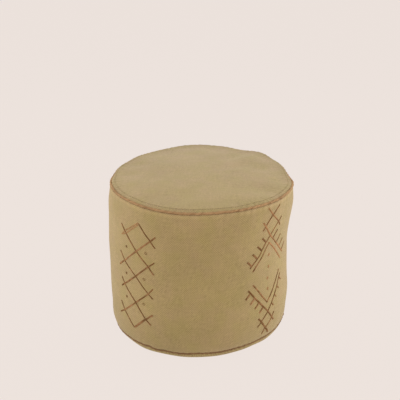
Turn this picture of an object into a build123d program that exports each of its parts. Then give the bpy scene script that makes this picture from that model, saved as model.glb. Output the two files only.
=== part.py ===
"""A round floor pouf: a canvas cover over a stuffed inner bag, with a zip across its base.

Millimetres, +Z up. The origin is the centre of the base, on the floor. The front faces -Y.
Every cloth panel, piping, thread, zip piece and the stuffing is a separate solid.
Headings are given in degrees round the pouf from the front, positive towards +X.
"""

from build123d import *
import os
from math import cos, degrees, radians, sin, sqrt

os.makedirs("parts", exist_ok=True)

# Cloth
CANVAS = 1.2
LINING = 0.6
ALLOWANCE = 10.0
CUT = 0.2
THREAD = 0.5
BIG = 1000.0  # larger than the whole pouf, for cuts that run right through it
DIAGONAL = sin(radians(45))

# Outside of the wall, from the base piping up to the top piping, as (radius, height)
WALL = [(218.6, 17.2), (225.0, 42.0), (226.8, 111.0), (225.4, 225.0), (228.0, 345.0), (225.6, 384.6)]
SEAM_HEADING = 97.0
SEAM_BOTTOM = 32.0
SEAM_TOP = 372.0

# Where the top edge of the wall turns in below the piping
RIM_GROOVE = (224.0, 386.1)
RIM_TURN_R = 222.2
RIM_UNDER_R = 221.8

# Top panel and its piping
CROWN_Z = 401.0
STITCH_R = 213.8
STITCH_Z = 392.4
ROLL_R = 218.0
ROLL_Z = 394.0
TOP_EDGE_R = 222.2
TOP_EDGE_RISE = 2.0
TOP_FOLD_OUT = 0.2
TOP_FOLD_IN = 0.8
TOP_PIPE_R = 225.0
TOP_PIPE_Z = 389.0
TOP_PIPE_WIDTH = 5.5
TOP_CORD = 3.4
FLANGE_FIT = 0.4
PIPE_JOIN_HEADING = 88.0
TURNED_IN_R = 211.5

# Base panels and their piping
BASE_ROLL_R = 203.0
BASE_ROLL = 11.7
BASE_FLAT_R = 190.0
DISH_R = 176.0
DISH_Z = 8.0
BASE_PIPE_R = 217.3
BASE_PIPE_Z = 13.6
BASE_PIPE_WIDTH = 4.4
BASE_CORD = 2.6
HEM_LOW = 15.9
HEM_TOP = 25.9

# Zip across the base, along X; its tapes lie on the inside of the base panels
ZIP_OPENING = 10.4
ZIP_HALF = 163.0
ZIP_STITCH = 2.5
TAPE_LENGTH = 340.0
TAPE_WIDTH = 15.4
TAPE_T = 0.6
TAPE_Z = DISH_Z + CANVAS + 0.05
PARTING = 1.2
COIL_WIDTH = 2.6
COIL_DEPTH = 2.2
COIL_START = -154.0
COIL_END = 149.0
STOP_LENGTH = 2.5
STOP_WIDTH = 2.9
TAPE_FIT = 0.05

# Zip slider and its pull
SLIDER_X = -148.0
SLIDER_LENGTH = 11.0
SLIDER_WIDTH = 9.2
PLATE = 1.2
SLIDER_GAP = 0.35
LIP = 1.0
WEB_T = 0.6
WEB_LENGTH = 4.0
PIN_Z = 3.6
PIN_R = 0.8
PIN_FIT = 0.05
EAR_T = 1.4
EAR_LENGTH = 3.4
EAR_SPREAD = 4.4
EAR_DROP = 1.2
KNUCKLE_R = 1.4
PULL_LENGTH = 24.0
PULL_NECK = 4.0
PULL_WIDTH = 7.0
PULL_T = 1.4
PULL_SHOULDER = 5.0
GRIP_HOLE_R = 1.8

# Inner bag and stuffing
BAG_INSET = 3.4
BAG_CROWN_Z = 399.3
BAG_SHOULDER = 24.0
BAG_SHOULDER_Z = 363.0
BAG_TAPER = 0.3
BAG_FLOOR_Z = 13.0
BAG_FLOOR_R = 187.5
BAG_CORNER = (205.5, 19.5)
BAG_SIDE_FOOT = (211.5, 34.0)
BAG_SIDE_LOW = (221.5, 62.0)
STUFFING_GAP = 0.05

# Embroidery, raised on the wall; its drawings use (along the wall, height) on this radius
DRAW_R = 226.0
STROKE = 3.6
RELIEF = 0.8
DOT_R = 3.2
MOTIF_TURN = 50.0

LATTICE_U = -168.5
ARROWS_U = 190.0

# Each line of the two motifs, as (along the wall, height), from one end to the other
LATTICE_LINES = [
    # Down from the left
    [(14, 344), (51, 307), (64, 292)],
    [(-47, 325), (-28, 308), (10, 272), (46, 241), (61, 222)],
    [(-50, 253), (-32, 234), (7, 204), (43, 168), (56, 157)],
    [(-48, 183), (-37, 168), (4, 132), (32, 97), (48, 84)],
    [(-54, 115), (-39, 95), (-16, 71), (-4, 60)],
    # Down from the right
    [(-44, 298), (-29, 310), (13, 344)],
    [(-54, 215), (-30, 234), (10, 271), (50, 307), (64, 321)],
    [(-50, 158), (-36, 169), (7, 204), (46, 241), (63, 255)],
    [(-59, 81), (-39, 95), (4, 132), (43, 168), (57, 184)],
    [(-3, 61), (32, 95), (54, 113)],
]
LATTICE_DOTS = [(-24, 272), (-26, 201), (-29, 136), (39, 274), (33, 204), (29, 136)]

ARROW_LINES = [
    # Upper arrow head, its two long arms crossing at the tip into a small diamond
    [(-61, 233), (-34, 260), (-22, 282), (-5, 303), (35, 339)],
    [(-34, 343), (-26, 331), (-8, 307), (23, 276), (74, 230)],
    [(-52, 222), (-26, 252), (-6, 285), (23, 258), (61, 218)],
    [(18, 374), (-5, 356), (-22, 336), (-33, 321)],
    [(-22, 377), (-4, 355), (28, 325), (33, 317)],
    # Lower arrow head, upside down
    [(-64, 175), (-38, 141), (0, 98), (26, 63)],
    [(59, 178), (40, 147), (0, 98), (-23, 77), (-35, 65)],
    [(-50, 186), (-33, 164), (-3, 124), (21, 148), (36, 167), (53, 191)],
    [(26, 86), (10, 65), (-9, 52), (-17, 37)],
    [(-33, 89), (-23, 77), (8, 33)],
]
# Rows of ticks on the outer arms: (root of the first, root of the last, tick)
ARROW_COMBS = [
    [(-56, 238), (-18, 289), (-14, 14)],
    [(9, 293), (69, 237), (16, 14)],
    [(-58, 166), (-17, 117), (-14, -13)],
    [(55, 168), (14, 115), (9, -10)],
]
ARROW_TICKS = 4
ARROW_DOTS = [(1, 250), (3, 218), (0, 188), (1, 159)]


def save(piece, name):
    """Label a finished piece and write its STEP file."""
    piece.label = name
    export_step(piece, f"parts/{name}.step")


def heading_plane(heading):
    """The vertical half-plane at a heading: its x runs outwards from the axis and its y up."""
    turn = radians(heading)
    return Plane(origin=(0, 0, 0), x_dir=(sin(turn), -cos(turn), 0), z_dir=(-cos(turn), -sin(turn), 0))


def tangent_plane(heading):
    """The vertical plane through the axis that faces outwards at a heading, its y up."""
    turn = radians(heading)
    return Plane(origin=(0, 0, 0), x_dir=(cos(turn), sin(turn), 0), z_dir=(sin(turn), -cos(turn), 0))


def inset_wall(inset):
    """The wall's outline, moved inwards."""
    return [(radius - inset, height) for radius, height in WALL]


def radial_cut(heading, low, high, inner, outer):
    """Where a band's or a piping's two ends meet: a thin slot right through it."""
    turn = radians(heading)
    middle = (inner + outer) / 2
    with Locations(Pos(middle * sin(turn), -middle * cos(turn), (low + high) / 2) * Rot(0, 0, heading)):
        Box(CUT, outer - inner, high - low, mode=Mode.SUBTRACT)


# ---------------------------------------------------------------------------------------------
# Cover: top panel, wall band and base panels
# ---------------------------------------------------------------------------------------------

TURNED_TOP = TOP_PIPE_Z + CANVAS / 2
TURNED_LOW = TOP_PIPE_Z - CANVAS / 2
PANEL_HEM_R = BASE_ROLL_R + BASE_ROLL
HEM_R = PANEL_HEM_R + CANVAS


def dome_height(radius, top, edge_radius, edge_z):
    """Height, at a radius, of a round dome through its top and its edge."""
    rise = top - edge_z
    curve = (edge_radius**2 + rise**2) / (2 * rise)
    return top - curve + sqrt(curve**2 - radius**2)


with BuildPart() as top_panel:
    with BuildSketch(Plane.XZ):
        with BuildLine():
            half = STITCH_R / 2
            dome = dome_height(half, CROWN_Z, STITCH_R, STITCH_Z)
            ThreePointArc((0, CROWN_Z), (half, dome), (STITCH_R, STITCH_Z))
            edge = (TOP_EDGE_R, TURNED_TOP + TOP_EDGE_RISE)
            fold = (TOP_EDGE_R - TOP_FOLD_IN, TURNED_TOP)
            ThreePointArc((STITCH_R, STITCH_Z), (ROLL_R, ROLL_Z), edge)
            ThreePointArc(edge, (TOP_EDGE_R + TOP_FOLD_OUT, TURNED_TOP + CANVAS), fold)
            Polyline(
                fold,
                (TURNED_IN_R, TURNED_TOP),
                (TURNED_IN_R, TURNED_TOP + CANVAS),
                (TOP_EDGE_R - CANVAS, TURNED_TOP + CANVAS),
            )
            ThreePointArc(
                (TOP_EDGE_R - CANVAS, TURNED_TOP + CANVAS),
                (ROLL_R, ROLL_Z - CANVAS),
                (STITCH_R, STITCH_Z - CANVAS),
            )
            ThreePointArc((STITCH_R, STITCH_Z - CANVAS), (half, dome - CANVAS), (0, CROWN_Z - CANVAS))
            Line((0, CROWN_Z - CANVAS), (0, CROWN_Z))
        make_face()
    revolve(axis=Axis.Z)
save(top_panel.part, "top_panel")

with BuildPart() as side_band:
    with BuildSketch(Plane.XZ):
        with BuildLine():
            outer = Spline(WALL)
            inner = Spline(inset_wall(CANVAS))
            rim_out, rim_in = WALL[-1], inset_wall(CANVAS)[-1]
            Polyline(
                rim_out,
                RIM_GROOVE,
                (RIM_TURN_R, TURNED_LOW),
                (TURNED_IN_R, TURNED_LOW),
                (TURNED_IN_R, TURNED_LOW - CANVAS),
                (RIM_UNDER_R, TURNED_LOW - CANVAS),
                rim_in,
            )
            foot_out, foot_in = WALL[0], inset_wall(CANVAS)[0]
            Polyline(
                foot_out,
                (foot_in[0], HEM_LOW),
                (HEM_R, HEM_LOW),
                (HEM_R, HEM_TOP),
                (HEM_R + CANVAS, HEM_TOP),
                foot_in,
            )
        make_face()
    revolve(axis=Axis.Z)
    # The two ends of the band are turned in and pressed open along the upright seam
    allowance_turn = degrees(ALLOWANCE / DRAW_R)
    with BuildSketch(heading_plane(SEAM_HEADING - allowance_turn)):
        with BuildLine():
            Spline(inset_wall(CANVAS / 2))
            Spline(inset_wall(2 * CANVAS))
            Line(inset_wall(CANVAS / 2)[0], inset_wall(2 * CANVAS)[0])
            Line(inset_wall(CANVAS / 2)[-1], inset_wall(2 * CANVAS)[-1])
        make_face()
        with Locations((DRAW_R, (SEAM_BOTTOM + SEAM_TOP) / 2)):
            Rectangle(ALLOWANCE * 3, SEAM_TOP - SEAM_BOTTOM, mode=Mode.INTERSECT)
    revolve(axis=Axis.Z, revolution_arc=2 * allowance_turn)
    radial_cut(SEAM_HEADING, 0, CROWN_Z, TURNED_IN_R - ALLOWANCE, DRAW_R + ALLOWANCE)
save(side_band.part, "side_band")


def base_section():
    """Half-section of a base panel: zip dish, flat foot, rolled edge and turned-up hem."""
    edge = PANEL_HEM_R
    with BuildSketch() as section:
        with BuildLine():
            Polyline((0, DISH_Z), (DISH_R, DISH_Z), (BASE_FLAT_R, 0), (BASE_ROLL_R, 0))
            ThreePointArc(
                (BASE_ROLL_R, 0),
                (BASE_ROLL_R + BASE_ROLL * DIAGONAL, BASE_ROLL * (1 - DIAGONAL)),
                (edge, BASE_ROLL),
            )
            Polyline((edge, BASE_ROLL), (edge, HEM_TOP), (edge - CANVAS, HEM_TOP), (edge - CANVAS, BASE_ROLL))
            inside = BASE_ROLL - CANVAS
            ThreePointArc(
                (edge - CANVAS, BASE_ROLL),
                (BASE_ROLL_R + inside * DIAGONAL, BASE_ROLL - inside * DIAGONAL),
                (BASE_ROLL_R, CANVAS),
            )
            Polyline(
                (BASE_ROLL_R, CANVAS),
                (BASE_FLAT_R + CANVAS / 2, CANVAS),
                (DISH_R + CANVAS / 2, DISH_Z + CANVAS),
                (0, DISH_Z + CANVAS),
                (0, DISH_Z),
            )
        make_face()
    return section.sketch_local


for side, start in (("front", -90.0), ("back", 90.0)):
    with BuildPart() as base_panel:
        with BuildSketch(heading_plane(start)):
            add(base_section())
        revolve(axis=Axis.Z, revolution_arc=180)
        Box(2 * ZIP_HALF, ZIP_OPENING, BIG, mode=Mode.SUBTRACT)
        Box(BIG, CUT, BIG, mode=Mode.SUBTRACT)
    save(base_panel.part, f"base_panel_{side}")

# ---------------------------------------------------------------------------------------------
# Piping: a cloth cover sewn round a cord, with a flange that is caught in the seam
# ---------------------------------------------------------------------------------------------


def piping_cover(radius, height, width, cord, flange):
    """A cloth tube with its flange, a rectangle given as (inner, outer, low, high)."""
    inner, outer, low, high = flange
    with BuildPart() as cover:
        with BuildSketch(Plane.XZ):
            with Locations((radius, height)):
                Circle(width / 2)
            with Locations(((inner + outer) / 2, (low + high) / 2)):
                Rectangle(outer - inner, high - low)
            with Locations((radius, height)):
                Circle(cord / 2 + TAPE_FIT, mode=Mode.SUBTRACT)
        revolve(axis=Axis.Z)
        radial_cut(PIPE_JOIN_HEADING, 0, CROWN_Z, TURNED_IN_R - ALLOWANCE, DRAW_R + ALLOWANCE)
    return cover.part


def piping_cord(radius, height, cord):
    """The cord inside a piping, cut where its ends meet."""
    with BuildPart() as core:
        with BuildSketch(Plane.XZ):
            with Locations((radius, height)):
                Circle(cord / 2)
        revolve(axis=Axis.Z)
        radial_cut(PIPE_JOIN_HEADING, 0, CROWN_Z, TURNED_IN_R - ALLOWANCE, DRAW_R + ALLOWANCE)
    return core.part


top_flange = (TURNED_IN_R, TOP_PIPE_R - TOP_CORD / 2 - FLANGE_FIT, TURNED_LOW, TURNED_TOP)
save(piping_cover(TOP_PIPE_R, TOP_PIPE_Z, TOP_PIPE_WIDTH, TOP_CORD, top_flange), "top_piping_cover")
save(piping_cord(TOP_PIPE_R, TOP_PIPE_Z, TOP_CORD), "top_piping_cord")

base_flange = (PANEL_HEM_R, HEM_R, BASE_PIPE_Z, HEM_TOP)
save(piping_cover(BASE_PIPE_R, BASE_PIPE_Z, BASE_PIPE_WIDTH, BASE_CORD, base_flange), "base_piping_cover")
save(piping_cord(BASE_PIPE_R, BASE_PIPE_Z, BASE_CORD), "base_piping_cord")

# ---------------------------------------------------------------------------------------------
# Sewing threads, each a plain run of thread along its seam
# ---------------------------------------------------------------------------------------------


def thread_ring(radius, height):
    """One round of stitching."""
    with BuildPart() as ring:
        with BuildSketch(Plane.XZ):
            with Locations((radius, height)):
                Circle(THREAD / 2)
        revolve(axis=Axis.Z)
    return ring.part


save(thread_ring(STITCH_R, STITCH_Z + THREAD), "top_stitch_thread")
save(thread_ring(ROLL_R, TURNED_LOW - CANVAS - THREAD / 2), "top_seam_thread")
save(thread_ring(PANEL_HEM_R - CANVAS - THREAD / 2, (BASE_ROLL + HEM_TOP) / 2), "base_seam_thread")

with BuildPart() as side_seam_thread:
    turn = degrees(THREAD / DRAW_R)
    with BuildSketch(heading_plane(SEAM_HEADING - turn / 2)):
        with BuildLine():
            Spline(inset_wall(2 * CANVAS))
            Spline(inset_wall(2 * CANVAS + THREAD))
            Line(inset_wall(2 * CANVAS)[0], inset_wall(2 * CANVAS + THREAD)[0])
            Line(inset_wall(2 * CANVAS)[-1], inset_wall(2 * CANVAS + THREAD)[-1])
        make_face()
        with Locations((DRAW_R, (SEAM_BOTTOM + SEAM_TOP) / 2)):
            Rectangle(ALLOWANCE * 3, SEAM_TOP - SEAM_BOTTOM, mode=Mode.INTERSECT)
    revolve(axis=Axis.Z, revolution_arc=turn)
save(side_seam_thread.part, "side_seam_thread")

for side, sign in (("front", -1), ("back", 1)):
    with BuildPart() as zip_thread:
        with Locations((0, sign * (ZIP_OPENING / 2 + ZIP_STITCH), DISH_Z - THREAD / 2)):
            Cylinder(THREAD / 2, 2 * ZIP_HALF, rotation=(0, 90, 0))
    save(zip_thread.part, f"zip_thread_{side}")

# ---------------------------------------------------------------------------------------------
# Embroidery: raised lines of thread on the front, and the same two motifs on the back
# ---------------------------------------------------------------------------------------------


def relief_section():
    """Half-section of the thin layer that the embroidery stands in, on the outside of the wall."""
    with BuildSketch() as section:
        with BuildLine():
            Spline(WALL)
            Spline(inset_wall(-RELIEF))
            Line(WALL[0], inset_wall(-RELIEF)[0])
            Line(WALL[-1], inset_wall(-RELIEF)[-1])
        make_face()
    return section.sketch_local


def on_plane(u, height):
    """A point drawn on the wall, seen straight on from outside."""
    return (DRAW_R * sin(u / DRAW_R), height)


def stroke_line(points):
    """One embroidered line through some points."""
    with BuildLine() as line:
        Polyline([on_plane(u, height) for u, height in points])
    trace(line.edges(), line_width=STROKE)


def raised(heading, draw):
    """A motif raised on the wall: its drawing, pushed out through a sector of the relief layer."""
    with BuildPart() as motif:
        with BuildSketch(heading_plane(heading - MOTIF_TURN / 2)):
            add(relief_section())
        revolve(axis=Axis.Z, revolution_arc=MOTIF_TURN)
        with BuildSketch(tangent_plane(heading)):
            draw()
        extrude(amount=DRAW_R + ALLOWANCE, mode=Mode.INTERSECT)
    return motif.part


def draw_dots(places):
    """Round knots of thread."""
    with Locations([on_plane(u, height) for u, height in places]):
        Circle(DOT_R)


def draw_lattice():
    """A column of diamonds whose lines cross and run on a little past their side corners."""
    for line in LATTICE_LINES:
        stroke_line(line)
    draw_dots(LATTICE_DOTS)


def draw_arrows():
    """Two arrow heads, point to point with a column of dots between, with combs of ticks."""
    for line in ARROW_LINES:
        stroke_line(line)
    for first, last, (tick_u, tick_z) in ARROW_COMBS:
        for number in range(ARROW_TICKS):
            share = number / (ARROW_TICKS - 1)
            u = first[0] + (last[0] - first[0]) * share
            height = first[1] + (last[1] - first[1]) * share
            stroke_line([(u, height), (u + tick_u, height + tick_z)])
    draw_dots(ARROW_DOTS)


for side, facing in (("front", 0.0), ("back", 180.0)):
    save(raised(facing + degrees(LATTICE_U / DRAW_R), draw_lattice), f"lattice_embroidery_{side}")
    save(raised(facing + degrees(ARROWS_U / DRAW_R), draw_arrows), f"arrow_embroidery_{side}")

# ---------------------------------------------------------------------------------------------
# Zip: two tapes with their coils, end stops, slider and pull
# ---------------------------------------------------------------------------------------------

TAPE_TOP = TAPE_Z + TAPE_T
COIL_LOW = TAPE_Z - COIL_DEPTH

for side, sign in (("front", -1), ("back", 1)):
    with BuildPart() as zip_tape:
        with Locations((0, sign * (PARTING + TAPE_WIDTH) / 2, TAPE_Z + TAPE_T / 2)):
            Box(TAPE_LENGTH, TAPE_WIDTH, TAPE_T)
    save(zip_tape.part, f"zip_tape_{side}")

    coil_middle = ((COIL_START + COIL_END) / 2, sign * (PARTING + COIL_WIDTH) / 2, TAPE_Z - COIL_DEPTH / 2)
    with BuildPart() as zip_coil:
        with Locations(coil_middle):
            Box(COIL_END - COIL_START, COIL_WIDTH, COIL_DEPTH)
        fillet(zip_coil.edges().filter_by(Axis.X).group_by(Axis.Z)[0], radius=COIL_WIDTH / 3)
    save(zip_coil.part, f"zip_coil_{side}")


def tape_slot(middle_x, sign):
    """The slot in a stop that the tape passes through."""
    with Locations((middle_x, sign * (PARTING / 2 - TAPE_FIT + TAPE_WIDTH / 2), TAPE_Z + TAPE_T / 2)):
        Box(2 * STOP_LENGTH, TAPE_WIDTH, TAPE_T + 2 * TAPE_FIT, mode=Mode.SUBTRACT)


stop_height = COIL_DEPTH + TAPE_T + PLATE
stop_z = COIL_LOW + stop_height / 2

with BuildPart() as zip_closed_stops:
    stop_x = COIL_START - STOP_LENGTH
    for sign in (-1, 1):
        with Locations((stop_x, sign * (WEB_T / 2 + STOP_WIDTH / 2), stop_z)):
            Box(STOP_LENGTH, STOP_WIDTH, stop_height)
        tape_slot(stop_x, sign)
save(zip_closed_stops.part, "zip_closed_stops")

with BuildPart() as zip_open_stop:
    stop_x = COIL_END + STOP_LENGTH
    with Locations((stop_x, 0, stop_z)):
        Box(STOP_LENGTH, PARTING + 2 * COIL_WIDTH, stop_height)
    for sign in (-1, 1):
        tape_slot(stop_x, sign)
save(zip_open_stop.part, "zip_open_stop")

top_plate_z = TAPE_TOP + SLIDER_GAP + PLATE / 2
low_plate_z = COIL_LOW - SLIDER_GAP - PLATE / 2
lip_low = low_plate_z + PLATE / 2
lip_high = TAPE_Z - SLIDER_GAP

with BuildPart() as zip_slider:
    with BuildSketch(Plane.XY.offset(low_plate_z - PLATE / 2)):
        with Locations((SLIDER_X, 0)):
            RectangleRounded(SLIDER_LENGTH, SLIDER_WIDTH, SLIDER_WIDTH / 4)
    extrude(amount=PLATE)
    with BuildSketch(Plane.XY.offset(top_plate_z - PLATE / 2)):
        with Locations((SLIDER_X, 0)):
            RectangleRounded(SLIDER_LENGTH, SLIDER_WIDTH, SLIDER_WIDTH / 4)
    extrude(amount=PLATE)
    # Upright lips keep the coils between the plates
    for sign in (-1, 1):
        with Locations((SLIDER_X, sign * (SLIDER_WIDTH - LIP) / 2, (lip_low + lip_high) / 2)):
            Box(SLIDER_LENGTH / 2, LIP, lip_high - lip_low)
    # The web joins the two plates through the parting of the coils
    with Locations((SLIDER_X - WEB_LENGTH / 2, 0, (low_plate_z + top_plate_z) / 2)):
        Box(WEB_LENGTH, WEB_T, top_plate_z - low_plate_z)
    # Two ears under the lower plate hold the pin of the pull
    ear_high = low_plate_z - PLATE / 2
    ear_low = PIN_Z - EAR_DROP
    for sign in (-1, 1):
        with Locations((SLIDER_X, sign * (EAR_SPREAD + EAR_T) / 2, (ear_high + ear_low) / 2)):
            Box(EAR_LENGTH, EAR_T, ear_high - ear_low)
    with Locations((SLIDER_X, 0, PIN_Z)):
        Cylinder(PIN_R, EAR_SPREAD + EAR_T, rotation=(90, 0, 0))
save(zip_slider.part, "zip_slider")

with BuildPart() as zip_pull:
    with BuildSketch(Plane.XY.offset(PIN_Z - PULL_T / 2)):
        with Locations((SLIDER_X + PULL_SHOULDER / 2 + KNUCKLE_R / 2, 0)):
            Rectangle(PULL_SHOULDER, PULL_NECK)
        tab_length = PULL_LENGTH - PULL_SHOULDER
        with Locations((SLIDER_X + PULL_SHOULDER + tab_length / 2, 0)):
            RectangleRounded(tab_length, PULL_WIDTH, PULL_NECK / 2)
        with Locations((SLIDER_X + PULL_LENGTH - 2 * GRIP_HOLE_R, 0)):
            Circle(GRIP_HOLE_R, mode=Mode.SUBTRACT)
    extrude(amount=PULL_T)
    with Locations((SLIDER_X, 0, PIN_Z)):
        Cylinder(KNUCKLE_R, PULL_NECK, rotation=(90, 0, 0))
        Cylinder(PIN_R + PIN_FIT, 2 * PULL_NECK, rotation=(90, 0, 0), mode=Mode.SUBTRACT)
save(zip_pull.part, "zip_pull")

# ---------------------------------------------------------------------------------------------
# Inner bag of lining cloth, in three panels, and its stuffing
# ---------------------------------------------------------------------------------------------


def bag_section(inset):
    """Half-section of the stuffed bag, moved inwards."""
    side = [BAG_SIDE_FOOT, BAG_SIDE_LOW]
    side += [(r - BAG_INSET, z) for r, z in WALL if BAG_SIDE_LOW[1] < z < BAG_SHOULDER_Z]
    side.append((WALL[-2][0] - BAG_INSET - BAG_TAPER, BAG_SHOULDER_Z))
    side = [(radius - inset, height) for radius, height in side]
    shoulder_r = side[-1][0] - (BAG_SHOULDER - inset)
    shoulder_z = BAG_SHOULDER_Z + BAG_SHOULDER - inset
    bend = (BAG_SHOULDER - inset) * DIAGONAL
    middle = dome_height(shoulder_r / 2, BAG_CROWN_Z - inset, shoulder_r, shoulder_z)
    with BuildSketch() as section:
        with BuildLine():
            ThreePointArc((0, BAG_CROWN_Z - inset), (shoulder_r / 2, middle), (shoulder_r, shoulder_z))
            ThreePointArc((shoulder_r, shoulder_z), (shoulder_r + bend, BAG_SHOULDER_Z + bend), side[-1])
            Spline(side)
            corner = (BAG_CORNER[0] - inset, BAG_CORNER[1] + inset)
            ThreePointArc(side[0], corner, (BAG_FLOOR_R, BAG_FLOOR_Z + inset))
            Polyline((BAG_FLOOR_R, BAG_FLOOR_Z + inset), (0, BAG_FLOOR_Z + inset), (0, BAG_CROWN_Z - inset))
        make_face()
    return section.sketch_local


def bag_panel(low, high):
    """The bag's cloth between two heights."""
    with BuildPart() as panel:
        with BuildSketch(Plane.XZ):
            add(bag_section(0))
        revolve(axis=Axis.Z)
        with BuildSketch(Plane.XZ):
            add(bag_section(LINING))
        revolve(axis=Axis.Z, mode=Mode.SUBTRACT)
        with Locations((0, 0, (low + high) / 2)):
            Box(BIG, BIG, high - low, mode=Mode.INTERSECT)
    return panel.part


save(bag_panel(0, BAG_SIDE_FOOT[1]), "bag_base")
save(bag_panel(BAG_SIDE_FOOT[1], BAG_SHOULDER_Z), "bag_side")
save(bag_panel(BAG_SHOULDER_Z, CROWN_Z), "bag_top")

with BuildPart() as stuffing:
    with BuildSketch(Plane.XZ):
        add(bag_section(LINING + STUFFING_GAP))
    revolve(axis=Axis.Z)
save(stuffing.part, "stuffing")
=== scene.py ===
"""Looks of a round floor pouf: a stuffed cloth cover with piping, embroidery and a zip in its base.

Metres, in the frame of the CAD model: Z up, the centre of the base at the origin, the front at -Y.
A heading is an angle in radians round the pouf from the front, positive towards +X.
Every cloth piece is first laid out on an ideal round pouf and then moved by settle(), so that the
cover, its threads and the bag inside it all lean, sag and ripple together.
"""

import math

import bpy
import numpy as np
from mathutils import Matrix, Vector


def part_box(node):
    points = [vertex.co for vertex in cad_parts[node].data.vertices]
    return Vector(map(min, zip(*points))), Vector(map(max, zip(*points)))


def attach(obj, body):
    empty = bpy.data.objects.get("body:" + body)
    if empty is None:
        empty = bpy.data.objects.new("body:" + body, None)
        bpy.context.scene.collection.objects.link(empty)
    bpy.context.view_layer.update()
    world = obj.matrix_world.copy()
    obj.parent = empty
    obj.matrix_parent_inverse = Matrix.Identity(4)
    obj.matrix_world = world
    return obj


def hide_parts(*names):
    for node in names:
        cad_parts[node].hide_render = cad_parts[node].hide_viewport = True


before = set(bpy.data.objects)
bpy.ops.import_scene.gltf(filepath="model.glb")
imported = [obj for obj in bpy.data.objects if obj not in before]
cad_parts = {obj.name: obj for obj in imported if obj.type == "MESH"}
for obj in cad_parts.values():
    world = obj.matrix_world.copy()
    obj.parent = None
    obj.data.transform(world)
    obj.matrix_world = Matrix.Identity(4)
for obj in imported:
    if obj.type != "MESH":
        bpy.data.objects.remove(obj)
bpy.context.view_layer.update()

MM = 0.001
TURN = 2 * math.pi
BODY = "pouf"

# --- The ideal pouf, read from the CAD model ---

CANVAS = 1.2 * MM
LINING = 0.6 * MM
MIDDLE_Z = 200 * MM


def middle_line(node):
    """(radius, height, section radius) of a round cord that runs round the pouf."""
    low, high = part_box(node)
    section = (high.z - low.z) / 2
    return high.x - section, low.z + section, section


def outermost(node):
    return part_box(node)[1].x


TOP_PIPE_R, TOP_PIPE_Z, TOP_CORD = middle_line("top_piping_cord")
BASE_PIPE_R, BASE_PIPE_Z, BASE_CORD = middle_line("base_piping_cord")
TOP_PIPE = outermost("top_piping_cover") - TOP_PIPE_R
BASE_PIPE = outermost("base_piping_cover") - BASE_PIPE_R
STITCH_R, STITCH_Z, THREAD = middle_line("top_stitch_thread")
CROWN_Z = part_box("top_panel")[1].z
TOP_EDGE_R = outermost("top_panel")
EDGE_R = TOP_EDGE_R - 0.6 * MM
PANEL_HEM_R = outermost("base_panel_back")
HEM_R = PANEL_HEM_R + CANVAS
HEM_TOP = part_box("base_panel_back")[1].z
HEM_LOW = HEM_TOP - 10 * MM
TURNED_TOP = TOP_PIPE_Z + CANVAS / 2
TURNED_LOW = TOP_PIPE_Z - CANVAS / 2
TURNED_IN_R = 211.5 * MM
ROLL_R = 218.6 * MM
BASE_ROLL_R = 203 * MM
BASE_ROLL = 11.7 * MM
DISH_R = 176 * MM
DISH_EDGE_R = 190 * MM
DISH_Z = 8 * MM
SEAM_HEADING = math.radians(97)
JOIN_HEADING = math.radians(84)

WALL_DEGREE = 7
WALL_ROUNDS = 3
WALL_INSIDE = 0.1 * MM


def fit_wall():
    """The outside radius of the wall at any height, as one smooth curve through the CAD band."""
    places = np.array([v.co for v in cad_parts["side_band"].data.vertices])
    radius, height = np.hypot(places[:, 0], places[:, 1]), places[:, 2]
    low, high = BASE_PIPE_Z + BASE_PIPE + MM, TOP_PIPE_Z - 4 * MM
    on_wall = (height > low) & (height < high)
    radius, height = radius[on_wall], height[on_wall]
    curve = np.polynomial.Polynomial.fit(height, radius, WALL_DEGREE)
    for _ in range(WALL_ROUNDS):
        # The cloth's inner face drops out, and the outer face is left
        outer = radius > curve(height) - WALL_INSIDE
        curve = np.polynomial.Polynomial.fit(height[outer], radius[outer], WALL_DEGREE)
    return curve, low, high


WALL_CURVE, WALL_LOW, WALL_HIGH = fit_wall()


def wall_radius(height):
    return WALL_CURVE(np.clip(height, WALL_LOW, WALL_HIGH))


def crown_height(radius):
    """Height of the top panel, without its stitched groove and its rolled edge."""
    return CROWN_Z - (CROWN_Z - STITCH_Z + 2 * THREAD) * (radius / STITCH_R) ** 2


# --- How the pouf has settled: lean, sags, ripples and puckers ---


def smooth(value, low, high):
    """0 below low, 1 above high, and a smooth rise between."""
    share = np.clip((value - low) / (high - low), 0, 1)
    return share * share * (3 - 2 * share)


def bell(value, width):
    return np.exp(-((value / width) ** 2))


def fading(distance, reach):
    """1 at no distance, and less further away."""
    return np.exp(-np.clip(distance, 0, 1) / reach)


def joined(*values):
    """Values side by side, as the last axis of one array."""
    return np.stack(np.broadcast_arrays(*values), axis=-1)


def spots_at(radius, heading, height):
    """Points at some radii, headings and heights of the pouf."""
    return joined(radius * np.sin(heading), -radius * np.cos(heading), height)


def apart(heading, other):
    """The angle from one heading to another, the short way round."""
    return (heading - other + math.pi) % TURN - math.pi


def close_to(heading, place, width):
    """1 at a place round the pouf, falling away on both sides; place and width in degrees."""
    return bell(np.degrees(apart(heading, math.radians(place))), width)


# Sideways lean of the body, as (height, shift towards +X)
LEAN = np.array([(0, 0), (14, -2.5), (110, -2.5), (231, -4.0), (296, -1.0), (361, 3.5), (401, 5)]) * MM

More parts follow.
